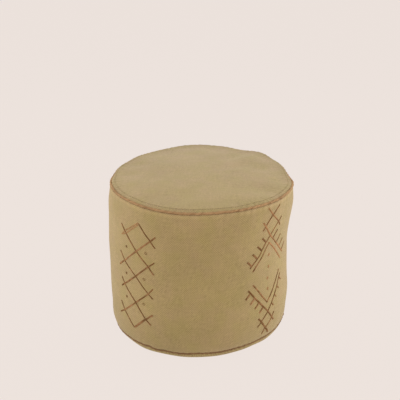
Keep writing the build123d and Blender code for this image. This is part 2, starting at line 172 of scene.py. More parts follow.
# The rim's sags and swells round the pouf, as (heading in degrees, rise, push outwards)
RIM = np.array([
    (-180, 1.0, -1.0), (-168, 1.0, 0.5), (-156, -2.0, -1.5), (-144, -3.5, -1.0), (-132, -2.5, -2.5),
    (-122, -3.0, -3.0), (-112, 0, -3.0), (-102, -1.0, -3.5), (-92, -2.0, -5.0), (-80, -0.5, -1.5),
    (-65, 0, 0), (-48, 1.0, 0), (-33, 1.5, 0), (-12, 0.5, 0), (0, 2.0, 0), (15, 4.0, 0), (33, 3.8, 0),
    (52, 2.6, 0), (65, 1.0, 0), (80, -0.5, 0.5), (92, -2.0, -9.0), (102, -3.0, -6.0),
    (112, -5.5, -0.5), (122, -6.0, -0.5), (132, 3.0, 2.0), (144, 0.5, -2.0), (156, -2.5, -3.0),
    (168, 1.0, -3.0), (180, 1.0, -1.0),
])
RIM_RISE_FROM = np.array([190, 385]) * MM
RIM_PUSH_FROM = np.array([290, 385]) * MM

# How the lower edge rides up and stands out round the pouf, in the same way
BASE_EDGE = np.array([
    (-180, 0, 0), (-110, 0.5, 0), (-95, 0.5, -0.5), (-80, 1.5, -0.5), (-65, 0, 3.0), (-50, 1.0, 4.0),
    (-40, 0, 5.0), (-30, 0, 2.5), (-15, 1.5, 1.0), (0, 1.0, -0.5), (15, 2.5, -2.0), (30, 3.5, -3.5),
    (40, 5.0, -4.5), (50, 2.5, -1.0), (65, 2.5, -0.5), (80, 2.5, 4.0), (95, 1.0, 2.5), (110, 0.5, 1.0),
    (180, 0.5, 0.5),
])
BASE_EDGE_REACH = 30 * MM
HEM_RIPPLE = 0.5 * MM

# How many degrees the tables above are softened over
RING_SOFTNESS = 4.0

# How far each side of the wall stands out, as (height, left side, right side)
SIDES = np.array([
    (20, 1.5, -0.5), (60, -4.0, -2.5), (100, -2.5, 0.5), (150, -0.5, 0), (200, 0.5, 0), (250, -1.0, -3.5),
    (300, -2.5, -1.5), (345, 1.5, 1.0), (375, -0.5, 0.5),
])
SIDE_WIDTH = 38
SIDE_SOFTNESS = 9 * MM
SIDE_STEPS = 202
FRONT_HOLLOW, HOLLOW_HEADING, HOLLOW_WIDTH, HOLLOW_HEIGHT = -1.2 * MM, 0.3, 0.7, 120 * MM

# Where the roll of the top panel swells over its piping: (heading in degrees, half width, depth)
PIPE_TUCKS = [
    (-98, 7, 2.0 * MM), (-108, 22, 4.4 * MM), (-150, 30, 4.0 * MM), (165, 34, 4.0 * MM), (122, 22, 4.0 * MM),
    (101, 8, 3.8 * MM),
]
BACK_ROLL = 3.6 * MM
BACK_ROLL_INSIDE = 13 * MM
BACK_ROLL_OUTSIDE = 3.4 * MM
FRONT_SHOULDER = 2.6 * MM
FRONT_FLARE = 2.6 * MM
GROOVE_DEPTH = 1.0 * MM
GROOVE_WIDTH = 1.4 * MM
GROOVE_FILLED_BEHIND = 0.85 * GROOVE_DEPTH

# The base piping lies in a fold, a little above and inside its seam
BASE_PIPE_RIDE = 2.4 * MM
BASE_PIPE_TUCK = 1.4 * MM

# Where a fold lifts the base piping alone: (heading in degrees, half width, rise)
BASE_FOLDS = [(-39, 4.5, 2.6 * MM), (-33.5, 2.6, 3.0 * MM), (-27, 2.4, -1.6 * MM)]

# Sizes of the random ripples, and how far each spreads from what causes it
BROAD_SWELL = 0.6 * MM
TOP_SWELL = 0.7 * MM
WALL_RIPPLE = 0.20 * MM
TOP_RIPPLE = 0.14 * MM
RIM_PUCKER, RIM_PUCKER_REACH = 0.42 * MM, 17 * MM
BASE_PUCKER, BASE_PUCKER_REACH = 0.45 * MM, 15 * MM
STITCH_PUCKER, STITCH_PUCKER_REACH = 0.30 * MM, 16 * MM
SEAM_PUCKER, SEAM_PUCKER_REACH = 0.9 * MM, 26 * MM
SEAM_SINK, SEAM_SINK_WIDTH = -1.7 * MM, 1.3 * MM
SEAM_RIDGE, SEAM_RIDGE_WIDTH = 0.5 * MM, 7 * MM

# The rim holds back part of the drape, and the cloth keeps a little above the floor
RIM_HOLD, RIM_HOLD_WIDTH = 0.6, 30 * MM
FLOOR_GAP = 0.2 * MM

# Where each move fades in, from none to all of it: first by height, then by radius, and last by the
# angle from the front
SWELL_FROM, SIDES_FROM, DRAPE_FROM, LEAN_FROM = np.array([(8, 60), (6, 30), (10, 60), (12, 60)]) * MM
ON_WALL_FROM, FLARE_FROM, ON_TOP_FROM = np.array([(4, 16), (355, 383), (386, 391)]) * MM
STITCHES_FROM, TOP_RIPPLE_FROM = (60 * MM, STITCH_R), (70 * MM, 190 * MM)
SHOULDER_FROM, SHOULDER_UNTIL = (110 * MM, 206 * MM), (214.5 * MM, 221 * MM)
BACK_ROLL_FROM, GROOVE_FILLED_FROM = (1.2, 1.9), (0.9, 1.5)


def softened(rough, gaps, softness):
    """Values along a line, each averaged with its neighbours by how near they are."""
    weight = bell(gaps, softness)
    return weight @ rough / weight.sum(axis=1)


def ring_curve(table, column):
    """A smooth function of heading through one column of a table round the pouf."""
    turn = np.arange(-180, 180)
    rough = np.interp(turn, table[:, 0], table[:, column] * MM)
    gaps = apart(np.radians(turn[:, None]), np.radians(turn))
    even = softened(rough, gaps, math.radians(RING_SOFTNESS))
    even = np.append(even, even[0])

    def curve(heading):
        return np.interp(np.degrees(apart(heading, 0)), np.arange(-180, 181), even)

    return curve


def side_curve(column):
    """A smooth function of height through the pushes of one side of the wall."""
    even = np.linspace(0, CROWN_Z, SIDE_STEPS)
    rough = np.interp(even, SIDES[:, 0] * MM, SIDES[:, column] * MM)
    soft = softened(rough, even[:, None] - even, SIDE_SOFTNESS)

    def curve(height):
        return np.interp(height, even, soft)

    return curve


RIM_RISE, RIM_PUSH = ring_curve(RIM, 1), ring_curve(RIM, 2)
BASE_RISE, BASE_PUSH = ring_curve(BASE_EDGE, 1), ring_curve(BASE_EDGE, 2)
LEFT_PUSH, RIGHT_PUSH = side_curve(1), side_curve(2)


def waves(seed, count, turns, rise):
    """A field of random waves round and up the pouf, about 1 in size.
    turns is the range of whole waves round it, and rise of waves per metre of height."""
    rng = np.random.default_rng(seed)
    around = rng.integers(turns[0], turns[1] + 1, count)
    up = rng.uniform(rise[0], rise[1], count) * rng.choice([-1, 1], count)
    phase = rng.uniform(0, TURN, count)

    def field(heading, height):
        total = np.zeros(np.broadcast(heading, height).shape)
        for k, q, p in zip(around, up, phase):
            total += np.cos(k * heading + TURN * q * height + p)
        return total / math.sqrt(count / 2)

    return field


BROAD_WAVES = waves(3, 14, (2, 6), (0.5, 4))
MEDIUM_WAVES = waves(5, 26, (7, 22), (2, 14))
RIM_WAVES = waves(7, 30, (38, 92), (0, 10))
BASE_WAVES = waves(9, 30, (30, 84), (0, 12))
STITCH_WAVES = waves(11, 34, (60, 150), (0, 4))
HEM_WAVES = waves(13, 10, (5, 16), (0, 1))
TOP_WAVES = waves(15, 10, (0, 4), (2, 6))
SEAM_WAVES = waves(19, 7, (0, 0), (7, 26))
PIPE_WAVES = waves(21, 12, (3, 30), (0, 1))
BAG_CREASES = waves(51, 60, (6, 60), (2, 30))

drape = None  # set once the cover has been simulated


def wall_ripples(heading, radius, height):
    """How far outwards the wall's own cloth ripples."""
    seam = apart(heading, SEAM_HEADING) * radius
    out = WALL_RIPPLE * MEDIUM_WAVES(heading, height)
    out += RIM_PUCKER * fading(TOP_PIPE_Z - height, RIM_PUCKER_REACH) * RIM_WAVES(heading, height)
    out += BASE_PUCKER * fading(height - BASE_PIPE_Z, BASE_PUCKER_REACH) * BASE_WAVES(heading, height)
    out += SEAM_PUCKER * SEAM_WAVES(0 * heading, height) * bell(seam, SEAM_PUCKER_REACH)
    out += SEAM_SINK * bell(seam, SEAM_SINK_WIDTH) + SEAM_RIDGE * bell(seam, SEAM_RIDGE_WIDTH)
    facing_front = np.clip(np.cos(heading), 0, 1)
    return out + FRONT_FLARE * smooth(height, *FLARE_FROM) * facing_front


def top_ripples(heading, radius):
    """How far upwards the top panel's own cloth ripples and rolls."""
    round_back = np.abs(heading)
    by_stitches = smooth(radius, *STITCHES_FROM) * fading(STITCH_R - radius, STITCH_PUCKER_REACH)
    up = STITCH_PUCKER * by_stitches * STITCH_WAVES(heading, 0 * radius)
    up += TOP_RIPPLE * smooth(radius, *TOP_RIPPLE_FROM) * MEDIUM_WAVES(heading, radius)
    past_roll = radius - ROLL_R
    swell = bell(past_roll, np.where(past_roll > 0, BACK_ROLL_OUTSIDE, BACK_ROLL_INSIDE))
    up += BACK_ROLL * swell * smooth(round_back, *BACK_ROLL_FROM)
    in_groove = bell(radius - STITCH_R, GROOVE_WIDTH)
    up += GROOVE_FILLED_BEHIND * in_groove * smooth(round_back, *GROOVE_FILLED_FROM)
    shoulder = smooth(radius, *SHOULDER_FROM) * (1 - smooth(radius, *SHOULDER_UNTIL))
    return up + FRONT_SHOULDER * shoulder * np.clip(np.cos(heading), 0, 1)


def rim_moves(heading, radius, height, reach):
    """(outwards, up) moves of the rim, and where its roll swells over the piping."""
    up = RIM_RISE(heading) * reach**5 * smooth(height, *RIM_RISE_FROM)
    out = RIM_PUSH(heading) * reach**3 * smooth(height, *RIM_PUSH_FROM)
    beside_pipe = bell(height - TOP_PIPE_Z, 4 * MM) * smooth(radius, 214 * MM, 225 * MM)
    for place, width, depth in PIPE_TUCKS:
        out = out - depth * close_to(heading, place, width) * beside_pipe
    return out, up


def base_moves(heading, radius, height):
    """(outwards, up) moves of the lower edge and of the piping in its fold."""
    at_pipe = bell(height - BASE_PIPE_Z, 11 * MM) * smooth(radius, 206 * MM, 215 * MM)
    at_pipe = at_pipe * smooth(height, 2 * MM, 12 * MM)
    rise = BASE_PIPE_RIDE
    for place, width, fold in BASE_FOLDS:
        rise = rise + fold * close_to(heading, place, width)
    at_edge = fading(height - BASE_PIPE_Z, BASE_EDGE_REACH) * smooth(radius, 186 * MM, 206 * MM)
    up = rise * at_pipe + BASE_RISE(heading) * at_edge
    up = up + HEM_RIPPLE * HEM_WAVES(heading, 0 * height) * (at_edge + at_pipe)
    out = BASE_PUSH(heading) * at_edge * smooth(radius, 192 * MM, 215 * MM)
    tucked = bell(height - BASE_PIPE_Z, 3.4 * MM) * smooth(radius, 208 * MM, 218 * MM)
    return out - BASE_PIPE_TUCK * tucked, up


def wall_moves(heading, height):
    """How far outwards the wall's sides and its front stand."""
    in_hollow = bell(apart(heading, HOLLOW_HEADING), HOLLOW_WIDTH) * bell(height - MIDDLE_Z, HOLLOW_HEIGHT)
    out = FRONT_HOLLOW * in_hollow
    for side, curve in ((-90, LEFT_PUSH), (90, RIGHT_PUSH)):
        out = out + curve(height) * close_to(heading, side, SIDE_WIDTH)
    return out


def settle(points, fine=True):
    """Move points of the ideal pouf to where the settled pouf has them."""
    x, y, z = (points[..., axis] for axis in range(3))
    heading, radius = np.arctan2(x, -y), np.hypot(x, y)
    reach = radius / wall_radius(z)
    out = BROAD_SWELL * BROAD_WAVES(heading, z) * smooth(z, *SWELL_FROM) * reach**2
    out = out + wall_moves(heading, z) * reach**2 * smooth(z, *SIDES_FROM)
    up = TOP_SWELL * TOP_WAVES(heading, radius) * smooth(z, 300 * MM, CROWN_Z) * smooth(reach, 0, 0.7)
    for more_out, more_up in (rim_moves(heading, radius, z, reach), base_moves(heading, radius, z)):
        out, up = out + more_out, up + more_up
    if drape is not None:
        drape_out, drape_up = drape(heading, radius, z)
        held_by_rim = bell(z - TOP_PIPE_Z, RIM_HOLD_WIDTH) * smooth(reach, 0.7, 1)
        share = (1 - RIM_HOLD * held_by_rim) * smooth(z, *DRAPE_FROM)
        out, up = out + drape_out * share, up + drape_up * share
    if fine:
        on_top = smooth(z, *ON_TOP_FROM)
        on_wall = (1 - on_top) * smooth(z, *ON_WALL_FROM) * smooth(radius, 150 * MM, 205 * MM)
        out = out + wall_ripples(heading, radius, z) * on_wall
        up = up + top_ripples(heading, radius) * on_top
    free = np.maximum(smooth(z, *LEAN_FROM), smooth(radius, DISH_R, 196 * MM))
    lean = np.interp(z, LEAN[:, 0], LEAN[:, 1]) * free
    # Nothing sinks below where it rested, or through the floor
    height = np.maximum(z + up, np.minimum(z, FLOOR_GAP))
    return joined(x + out * np.sin(heading) + lean, y - out * np.cos(heading), height)


# --- The cover's drape: a coarse copy of it is inflated as cloth, and its buckles are kept ---

CAGE_TURNS = 96
CAGE_FRAMES = 20
CAGE_ROUGHNESS = 0.25 * MM
CAGE_CLOTH = {
    "quality": 6,
    "mass": 0.4,
    "tension_stiffness": 30,
    "compression_stiffness": 30,
    "shear_stiffness": 8,
    "bending_stiffness": 4,
    "air_damping": 2,
    "shrink_min": -0.035,
    "use_pressure": True,
    "uniform_pressure_force": 4.0,
    "vertex_group_mass": "held",
    "pin_stiffness": 1.0,
}
HELD_ROWS = 3
DRAPE_LIMIT = 4.5 * MM
DRAPE_ROWS = 121
BROADEST_KEPT = 4


def cage_outline():
    """Half-outline of the whole cover, from near the middle of its top to its foot."""
    top = [(r, crown_height(r)) for r in np.linspace(14 * MM, 204 * MM, 14)]
    rim = [(TOP_EDGE_R - 4 * MM, TURNED_TOP + 4 * MM), (TOP_EDGE_R + 2 * MM, TOP_PIPE_Z)]
    wall = [(wall_radius(z), z) for z in np.linspace(WALL_HIGH - 6 * MM, 30 * MM, 25)]
    foot = [(BASE_PIPE_R, BASE_PIPE_Z), (BASE_ROLL_R, 0), (DISH_R, DISH_Z)]
    return np.array(top + rim + wall + foot, float)


def inflate(cage, held):
    """Run the cloth simulation and return where the vertices end up."""
    cage.vertex_groups.new(name="held").add(held, 1.0, "REPLACE")
    settings = cage.modifiers.new("cloth", "CLOTH").settings
    for name, value in CAGE_CLOTH.items():
        setattr(settings, name, value)
    settings.effector_weights.gravity = 0
    scene = bpy.context.scene
    for frame_number in range(1, CAGE_FRAMES + 1):
        scene.frame_set(frame_number)
    shaped = cage.evaluated_get(bpy.context.evaluated_depsgraph_get())
    places = np.array([v.co for v in shaped.data.vertices])
    scene.frame_set(1)
    return places


def soften(field, rounds):
    """Average a field of rows and wrapped columns with its neighbours."""
    for _ in range(rounds):
        field = (np.roll(field, 1, 1) + np.roll(field, -1, 1) + 2 * field) / 4
        padded = np.concatenate([field[:1], field, field[-1:]])
        field = (padded[:-2] + padded[2:] + 2 * field) / 4
    return field


def without_broad_waves(field):
    """The field less its mean and its broadest waves round the pouf."""
    spectrum = np.fft.rfft(field, axis=1)
    spectrum[:, :BROADEST_KEPT] = 0
    return np.fft.irfft(spectrum, field.shape[1], axis=1)


def simulate_drape():
    """The moves (outwards, up) of the simulated cover, as a smooth field round the pouf's middle."""
    outline = cage_outline()
    rows = len(outline)
    headings = np.arange(CAGE_TURNS) * TURN / CAGE_TURNS
    ideal = turned(outline, headings)
    start = ideal + np.random.default_rng(61).normal(0, CAGE_ROUGHNESS, ideal.shape)
    quads, _ = grid_faces(rows, CAGE_TURNS)
    verts = np.vstack([start.reshape(-1, 3), [0, 0, CROWN_Z], [0, 0, DISH_Z]])
    last, middle = (rows - 1) * CAGE_TURNS, rows * CAGE_TURNS
    fans = [(i, middle, (i + 1) % CAGE_TURNS) for i in range(CAGE_TURNS)]
    fans += [(last + i, last + (i + 1) % CAGE_TURNS, middle + 1) for i in range(CAGE_TURNS)]
    mesh = bpy.data.meshes.new("cage")
    mesh.from_pydata(verts.tolist(), [], [quad[::-1] for quad in quads.tolist()] + fans)
    cage = add_object("cage", mesh)
    held = np.arange((rows - HELD_ROWS) * CAGE_TURNS, middle).tolist() + [middle + 1]
    shaped = inflate(cage, held)
    bpy.data.objects.remove(cage)
    moved = shaped[:middle].reshape(rows, CAGE_TURNS, 3) - ideal
    out = moved[..., 0] * np.sin(headings) - moved[..., 1] * np.cos(headings)
    fields = [soften(without_broad_waves(field), 2) for field in (out, moved[..., 2])]
    return drape_field(outline, [DRAPE_LIMIT * np.tanh(field / DRAPE_LIMIT) for field in fields])


def drape_field(outline, fields):
    """A function that reads the drape anywhere: at full strength on the cover and less inside it."""
    angle = np.degrees(np.arctan2(outline[:, 1] - MIDDLE_Z, outline[:, 0]))
    order = np.argsort(angle)
    even = np.linspace(angle.min(), angle.max(), DRAPE_ROWS)

    def across(values):
        return np.interp(even, angle[order], values[order])

    edge = across(np.hypot(outline[:, 0], outline[:, 1] - MIDDLE_Z))
    grids = [soften(np.stack([across(column) for column in field.T], 1), 1) for field in fields]

    def read(heading, radius, height):
        tilt = np.degrees(np.arctan2(height - MIDDLE_Z, radius))
        row = np.clip((tilt - even[0]) / (even[1] - even[0]), 0, DRAPE_ROWS - 1.001)
        column = (heading / TURN * CAGE_TURNS) % CAGE_TURNS
        low, left = np.floor(row).astype(int), np.floor(column).astype(int) % CAGE_TURNS
        share_up = row - low
        weights = cubic_weights(column - np.floor(column))
        inside = np.hypot(radius, height - MIDDLE_Z) / np.interp(tilt, even, edge)
        strength = np.clip(inside, 0, 1.02) ** 2
        moves = [0, 0]
        for step, weight in zip((-1, 0, 1, 2), weights):
            at = (left + step) % CAGE_TURNS
            for k, grid in enumerate(grids):
                moves[k] = moves[k] + weight * (grid[low, at] * (1 - share_up) + grid[low + 1, at] * share_up)
        return [move * strength for move in moves]

    return read


def cubic_weights(t):
    """Catmull-Rom weights of four neighbours."""
    return (
        ((-t + 2) * t - 1) * t / 2,
        ((3 * t - 5) * t * t + 2) / 2,
        ((-3 * t + 4) * t + 1) * t / 2,
        (t - 1) * t * t / 2,
    )


# --- Mesh builders ---


def volume(mesh):
    """The volume inside a closed mesh, below zero where its faces look inwards."""
    mesh.calc_loop_triangles()
    corners = np.empty(len(mesh.loop_triangles) * 3, np.int32)
    mesh.loop_triangles.foreach_get("vertices", corners)
    places = np.empty(len(mesh.vertices) * 3, np.float32)
    mesh.vertices.foreach_get("co", places)
    a, b, c = places.reshape(-1, 3).astype(float)[corners.reshape(-1, 3)].transpose(1, 0, 2)
    return float((a * np.cross(b, c)).sum() / 6)


def add_object(name, data):
    """A new object, linked into the scene."""
    made = bpy.data.objects.new(name, data)
    bpy.context.scene.collection.objects.link(made)
    return made


def add_piece(name, node, look, verts, faces, uvs=None, tones=None):
    """A smooth-shaded mesh object that rides on the pouf in place of a CAD node. look is its material and
    slot. uvs has one row for each face corner, in metres of cloth; tones has one thread shade for each
    vertex."""
    material, slot = look
    mesh = bpy.data.meshes.new(name)
    mesh.from_pydata(np.asarray(verts).tolist(), [], faces)
    if uvs is not None:
        mesh.uv_layers.new(name="cloth").data.foreach_set("uv", np.asarray(uvs, np.float32).ravel())
    if tones is not None:
        layer = mesh.attributes.new("tone", "FLOAT", "POINT")
        layer.data.foreach_set("value", np.asarray(tones, np.float32).ravel())
    if volume(mesh) < 0:
        mesh.flip_normals()
    mesh.shade_smooth()
    mesh.materials.append(material)
    piece = add_object(name, mesh)
    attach(piece, BODY)
    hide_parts(node)
    return piece


def grid_faces(rows, columns, wrap_rows=False, wrap_columns=True, first=0):
    """Corner indices of the quads of a grid of vertices, and the grid steps of each corner."""
    row = np.arange(rows if wrap_rows else rows - 1)
    column = np.arange(columns if wrap_columns else columns - 1)
    j, i = np.meshgrid(row, column, indexing="ij")
    corners = [(j, i), (j, i + 1), (j + 1, i + 1), (j + 1, i)]
    index = [first + (a % rows) * columns + b % columns for a, b in corners]
    quads = np.stack(index, axis=-1).reshape(-1, 4)
    steps = np.stack([joined(a, b) for a, b in corners], axis=2).reshape(-1, 2)
    return quads, steps


def strip_faces(rows, columns):
    """Faces of a flat strip with capped ends. Its rows run along one face and back along the other,
    and its columns run from end to end."""
    quads, _ = grid_faces(rows, columns, wrap_rows=True, wrap_columns=False)
    out = np.arange(rows // 2 - 1)
    cap = joined(out, out + 1, rows - 2 - out, rows - 1 - out) * columns
    return quads.tolist() + cap.tolist() + (cap + columns - 1)[:, ::-1].tolist()


def turned(section, headings):
    """Points of a section, given as (radius, height), turned round to each heading."""
    return spots_at(section[:, 0, None], headings, section[:, 1, None])


def run_lengths(section):
    """Distance along a closed section at each of its points, and all the way round."""
    closed = np.vstack([section, section[:1]])
    return np.concatenate([[0], np.cumsum(np.hypot(*np.diff(closed, axis=0).T))])


def line(start, end, count):
    return np.linspace(start, end, count, endpoint=False)


def bend(centre, radius, first, last, count):
    """Points on an arc; angles in degrees from the outward direction."""
    angle = np.radians(np.linspace(first, last, count, endpoint=False))
    return joined(centre[0] + radius * np.cos(angle), centre[1] + radius * np.sin(angle))


def headings_for(count, close_up=None):
    """Even headings round the pouf, with more of them close to one place."""
    even = np.linspace(-math.pi, math.pi, count, endpoint=False)
    if close_up is not None:
        even = np.concatenate([even, close_up + np.radians(np.linspace(-1.2, 1.2, 16))])
    return np.unique(even.round(6))


def round_piece(name, node, look, section, headings, closed=True, fine=True):
    """A section turned right round. A closed section makes a ring, and an open one a disc."""
    places = settle(turned(section, headings), fine)
    rows, columns = places.shape[:2]
    quads, steps = grid_faces(rows, columns, wrap_rows=closed)
    turns = np.append(headings, headings[0] + TURN)[steps[:, 1]]
    verts, faces = places.reshape(-1, 3), quads.tolist()
    if closed:
        along = turns * section[:, 0].max()
        uvs = np.stack([along, run_lengths(section)[steps[:, 0]]], axis=-1)
    else:
        # A disc's cloth runs straight across it, not round it
        radius = section[steps[:, 0], 0]
        uvs = joined(radius * np.sin(turns), -radius * np.cos(turns))
        for row, order in ((0, -1), (rows - 1, 1)):
            ring = row * columns + np.arange(columns)
            verts = np.vstack([verts, verts[ring].mean(axis=0)])
            centre = len(verts) - 1
            faces += [[int(a), int(b), centre][::order] for a, b in zip(ring, np.roll(ring, -1))]
            uvs = np.vstack([uvs, np.zeros((columns * 3, 2))])
    return add_piece(name, node, look, verts, faces, uvs)


THREAD_SIDES = 5
THREAD_TIP = 0.6


def threads(name, node, look, lines, ups, radius, tones=None):
    """Many short threads as one mesh: lines is (threads, points, 3), ups points away from the cloth."""
    count, points = lines.shape[:2]
    along = np.gradient(lines, axis=1)
    along /= np.linalg.norm(along, axis=-1, keepdims=True)
    across = np.cross(along, ups)
    across /= np.linalg.norm(across, axis=-1, keepdims=True)
    rise = np.cross(across, along)
    angle = np.arange(THREAD_SIDES) * TURN / THREAD_SIDES
    taper = np.full(points, radius)
    taper[[0, -1]] *= THREAD_TIP
    ring = across[:, :, None] * np.cos(angle)[:, None] + rise[:, :, None] * np.sin(angle)[:, None]
    verts = (lines[:, :, None] + ring * taper[None, :, None, None]).reshape(-1, 3)
    quads, _ = grid_faces(points, THREAD_SIDES)
    first = np.arange(count)[:, None] * points * THREAD_SIDES
    faces = (quads[None] + first[:, :, None]).reshape(-1, 4).tolist()
    near = (first + np.arange(THREAD_SIDES)[::-1]).tolist()
    far = (first + (points - 1) * THREAD_SIDES + np.arange(THREAD_SIDES)).tolist()
    shades = None if tones is None else np.repeat(tones, points * THREAD_SIDES)
    return add_piece(name, node, look, verts, faces + near + far, tones=shades)


# --- Materials ---

SHEEN_TINT = (1.0, 0.86, 0.66, 1.0)


def linear(red, green, blue):
    """A colour as sRGB bytes, turned to the linear values that nodes take."""
    values = [channel / 255 for channel in (red, green, blue)]
    return tuple(v / 12.92 if v <= 0.04045 else ((v + 0.055) / 1.055) ** 2.4 for v in values) + (1.0,)


class Nodes:
    """Short ways to build a material's node tree."""

    def __init__(self, name, roughness, sheen=0.0, metallic=0.0, specular=0.5):
        self.material = bpy.data.materials.new(name)
        self.material.use_nodes = True
        self.tree = self.material.node_tree
        self.shader = self.tree.nodes["Principled BSDF"]
        self.fill(self.shader, {
            "Roughness": roughness, "Sheen Weight": sheen, "Sheen Roughness": 0.5, "Sheen Tint": SHEEN_TINT,
            "Metallic": metallic, "Specular IOR Level": specular,
        })

    def fill(self, node, inputs):
        """Link or set each named input of a node."""
        for key, value in inputs.items():
            if isinstance(value, bpy.types.NodeSocket):
                self.tree.links.new(value, node.inputs[key])
            else:
                node.inputs[key].default_value = value

    def add(self, kind, inputs=(), **settings):
        node = self.tree.nodes.new("ShaderNode" + kind)
        for key, value in settings.items():
            setattr(node, key, value)
        self.fill(node, dict(inputs))
        return node

    def math(self, operation, *values, clamp=False):
        node = self.add("Math", dict(enumerate(values)), operation=operation, use_clamp=clamp)
        return node.outputs[0]

    def times(self, first, second):
        return self.math("MULTIPLY", first, second)

    def plus(self, first, second, clamp=False):
        return self.math("ADD", first, second, clamp=clamp)

    def mix(self, share, first, second, blend="MIX"):
        inputs = {0: share, 6: first, 7: second}
        return self.add("Mix", inputs, data_type="RGBA", blend_type=blend).outputs[2]

    def spread(self, value, low, high, to_low=0.0, to_high=1.0):
        inputs = {0: value, 1: low, 2: high, 3: to_low, 4: to_high}
        return self.add("MapRange", inputs, clamp=True).outputs[0]

    def noise(self, place, scale, detail=2.0, roughness=0.5):
        inputs = {"Vector": place, "Scale": scale, "Detail": detail, "Roughness": roughness}
        return self.add("TexNoise", inputs).outputs["Fac"]

    def streaks(self, place, scale, roughness=0.5):
        """Noise stretched by a scale for each axis."""
        stretched = self.add("Mapping", {"Vector": place, "Scale": scale}).outputs[0]
        return self.noise(stretched, 1.0, 2.0, roughness)

    def turn(self, place, degrees_turned):
        turned_by = (0, 0, math.radians(degrees_turned))
        return self.add("Mapping", {"Vector": place, "Rotation": turned_by}).outputs[0]

    def sway(self, place, amount, length):
        """Cloth is never woven quite straight: its place, moved a little by slow noise."""
        noise = self.add("TexNoise", {"Vector": place, "Scale": 1 / length, "Detail": 1.0}).outputs["Color"]
        scaled = self.add("VectorMath", {0: noise, 1: (amount,) * 3}, operation="MULTIPLY").outputs[0]
        return self.add("VectorMath", {0: place, 1: scaled}, operation="ADD").outputs[0]

    def uv(self):
        return self.add("UVMap", uv_map="cloth").outputs[0]

    def place(self):
        return self.add("TexCoord").outputs["Object"]

    def axes(self, place):
        return self.add("SeparateXYZ", {0: place}).outputs

    def bump(self, height, distance, strength=1.0, **normal):
        inputs = {"Height": height, "Distance": distance, "Strength": strength}
        return self.add("Bump", {**inputs, **normal}).outputs[0]

    def finish(self, colour, normal, **others):
        self.fill(self.shader, {"Base Color": colour, "Normal": normal, **others})
        return self.material


def weave(nodes, place, pitch):
    """A weave of paired threads: (height, 1 where the warp lies on top and 0 where the weft does)."""
    split = nodes.axes(place)
    squares, pairs = [], []
    for axis in (0, 1):
        squares.append(nodes.math("SINE", nodes.times(split[axis], math.pi / pitch)))
        pair = nodes.math("SINE", nodes.times(split[axis], TURN / pitch))
        pairs.append(nodes.math("POWER", nodes.math("ABSOLUTE", pair), 0.6))
    over = nodes.math("MULTIPLY_ADD", nodes.times(*squares), 4.0, 0.5, clamp=True)
    blend = nodes.add("Mix", {0: over, 2: pairs[1], 3: pairs[0]}, data_type="FLOAT")
    return blend.outputs[0], over


# How much each part of the weave tells in its tone, and the range of tones from dark to light
WEAVE_SHARE, WARP_SHARE, FUZZ_SHARE, SLUB_SHARE, SPECK_SHARE = 0.42, 0.32, 0.55, 0.45, 0.64
TONE_RANGE = (0.34, 1.32)

# Tints of painted light and shade on the cover, as linear colours that multiply its own
# A painted sheen: a bluish tint on the top panel, strongest towards the back
PAINTED_SHEEN = (0.98, 1.03, 1.36, 1.0)
# Painted shade on the canvas, darkest at the floor
PAINTED_FLOOR_SHADE = (0.86, 0.86, 0.84, 1.0)
# A painted highlight on the wall just below the top piping
PAINTED_RIM_HIGHLIGHT = (1.18, 1.16, 1.20, 1.0)


def woven(nodes, place, pitch):
    """(tone, relief) of a weave with slubs and fuzz on its threads and slanting specks over it."""
    height, warp = weave(nodes, place, pitch)
    thin, long = 1 / (1.5 * pitch), 1 / (12 * pitch)
    slubs = nodes.plus(nodes.streaks(place, (thin, long, 1)), nodes.streaks(place, (long, thin, 1)))
    slubs = nodes.times(slubs, 0.5)
    fuzz = nodes.noise(place, 1 / (0.5 * pitch), 3.0, 0.65)
    specks = nodes.streaks(nodes.turn(place, 45), (1 / (0.9 * pitch), 1 / (4.5 * pitch), 1), 0.6)
    strength = nodes.spread(nodes.noise(place, 16.0), 0.42, 0.58, 0.4, 1.3)
    specks = nodes.times(nodes.math("SUBTRACT", specks, 0.5), strength)
    tone = nodes.times(height, WEAVE_SHARE)
    shares = ((warp, WARP_SHARE), (fuzz, FUZZ_SHARE), (slubs, SLUB_SHARE), (specks, SPECK_SHARE))
    for value, share in shares:
        tone = nodes.plus(tone, nodes.times(value, share))
    return tone, nodes.plus(height, nodes.times(nodes.plus(slubs, fuzz), 0.5))


def mottled(nodes, colour):
    """A colour with slow changes of shade over the piece, and of warmth within them."""
    body = nodes.place()
    shade = nodes.spread(nodes.noise(body, 9.0, 3.0, 0.55), 0.3, 0.7, 0.94, 1.05)
    warm = nodes.noise(body, 26.0)
    red = nodes.times(shade, nodes.spread(warm, 0.3, 0.7, 0.975, 1.03))
    blue = nodes.times(shade, nodes.spread(warm, 0.3, 0.7, 0.92, 1.10))
    tint = nodes.add("CombineColor", {0: red, 1: shade, 2: blue}).outputs[0]
    return nodes.mix(1.0, colour, tint, "MULTIPLY")


def painted_light_and_shade(nodes, colour):
    """A colour with a painted sheen on top, most towards the back, painted shade near the floor, and a
    painted highlight along the cover's upper edge, just below the top piping."""
    _, forwards, height = nodes.axes(nodes.place())
    backwards = nodes.spread(forwards, -0.22, 0.22, 0.25, 1.0)
    on_top = nodes.times(nodes.spread(height, 381 * MM, 388 * MM), backwards)
    by_floor = nodes.spread(height, 0.0, 120 * MM, 1.0, 0.0)
    upper_edge = nodes.spread(nodes.axes(nodes.uv())[1], 358 * MM, 366 * MM)
    for share, tint in ((on_top, PAINTED_SHEEN), (by_floor, PAINTED_FLOOR_SHADE), (upper_edge, PAINTED_RIM_HIGHLIGHT)):
        colour = nodes.mix(share, colour, tint, "MULTIPLY")
    return colour


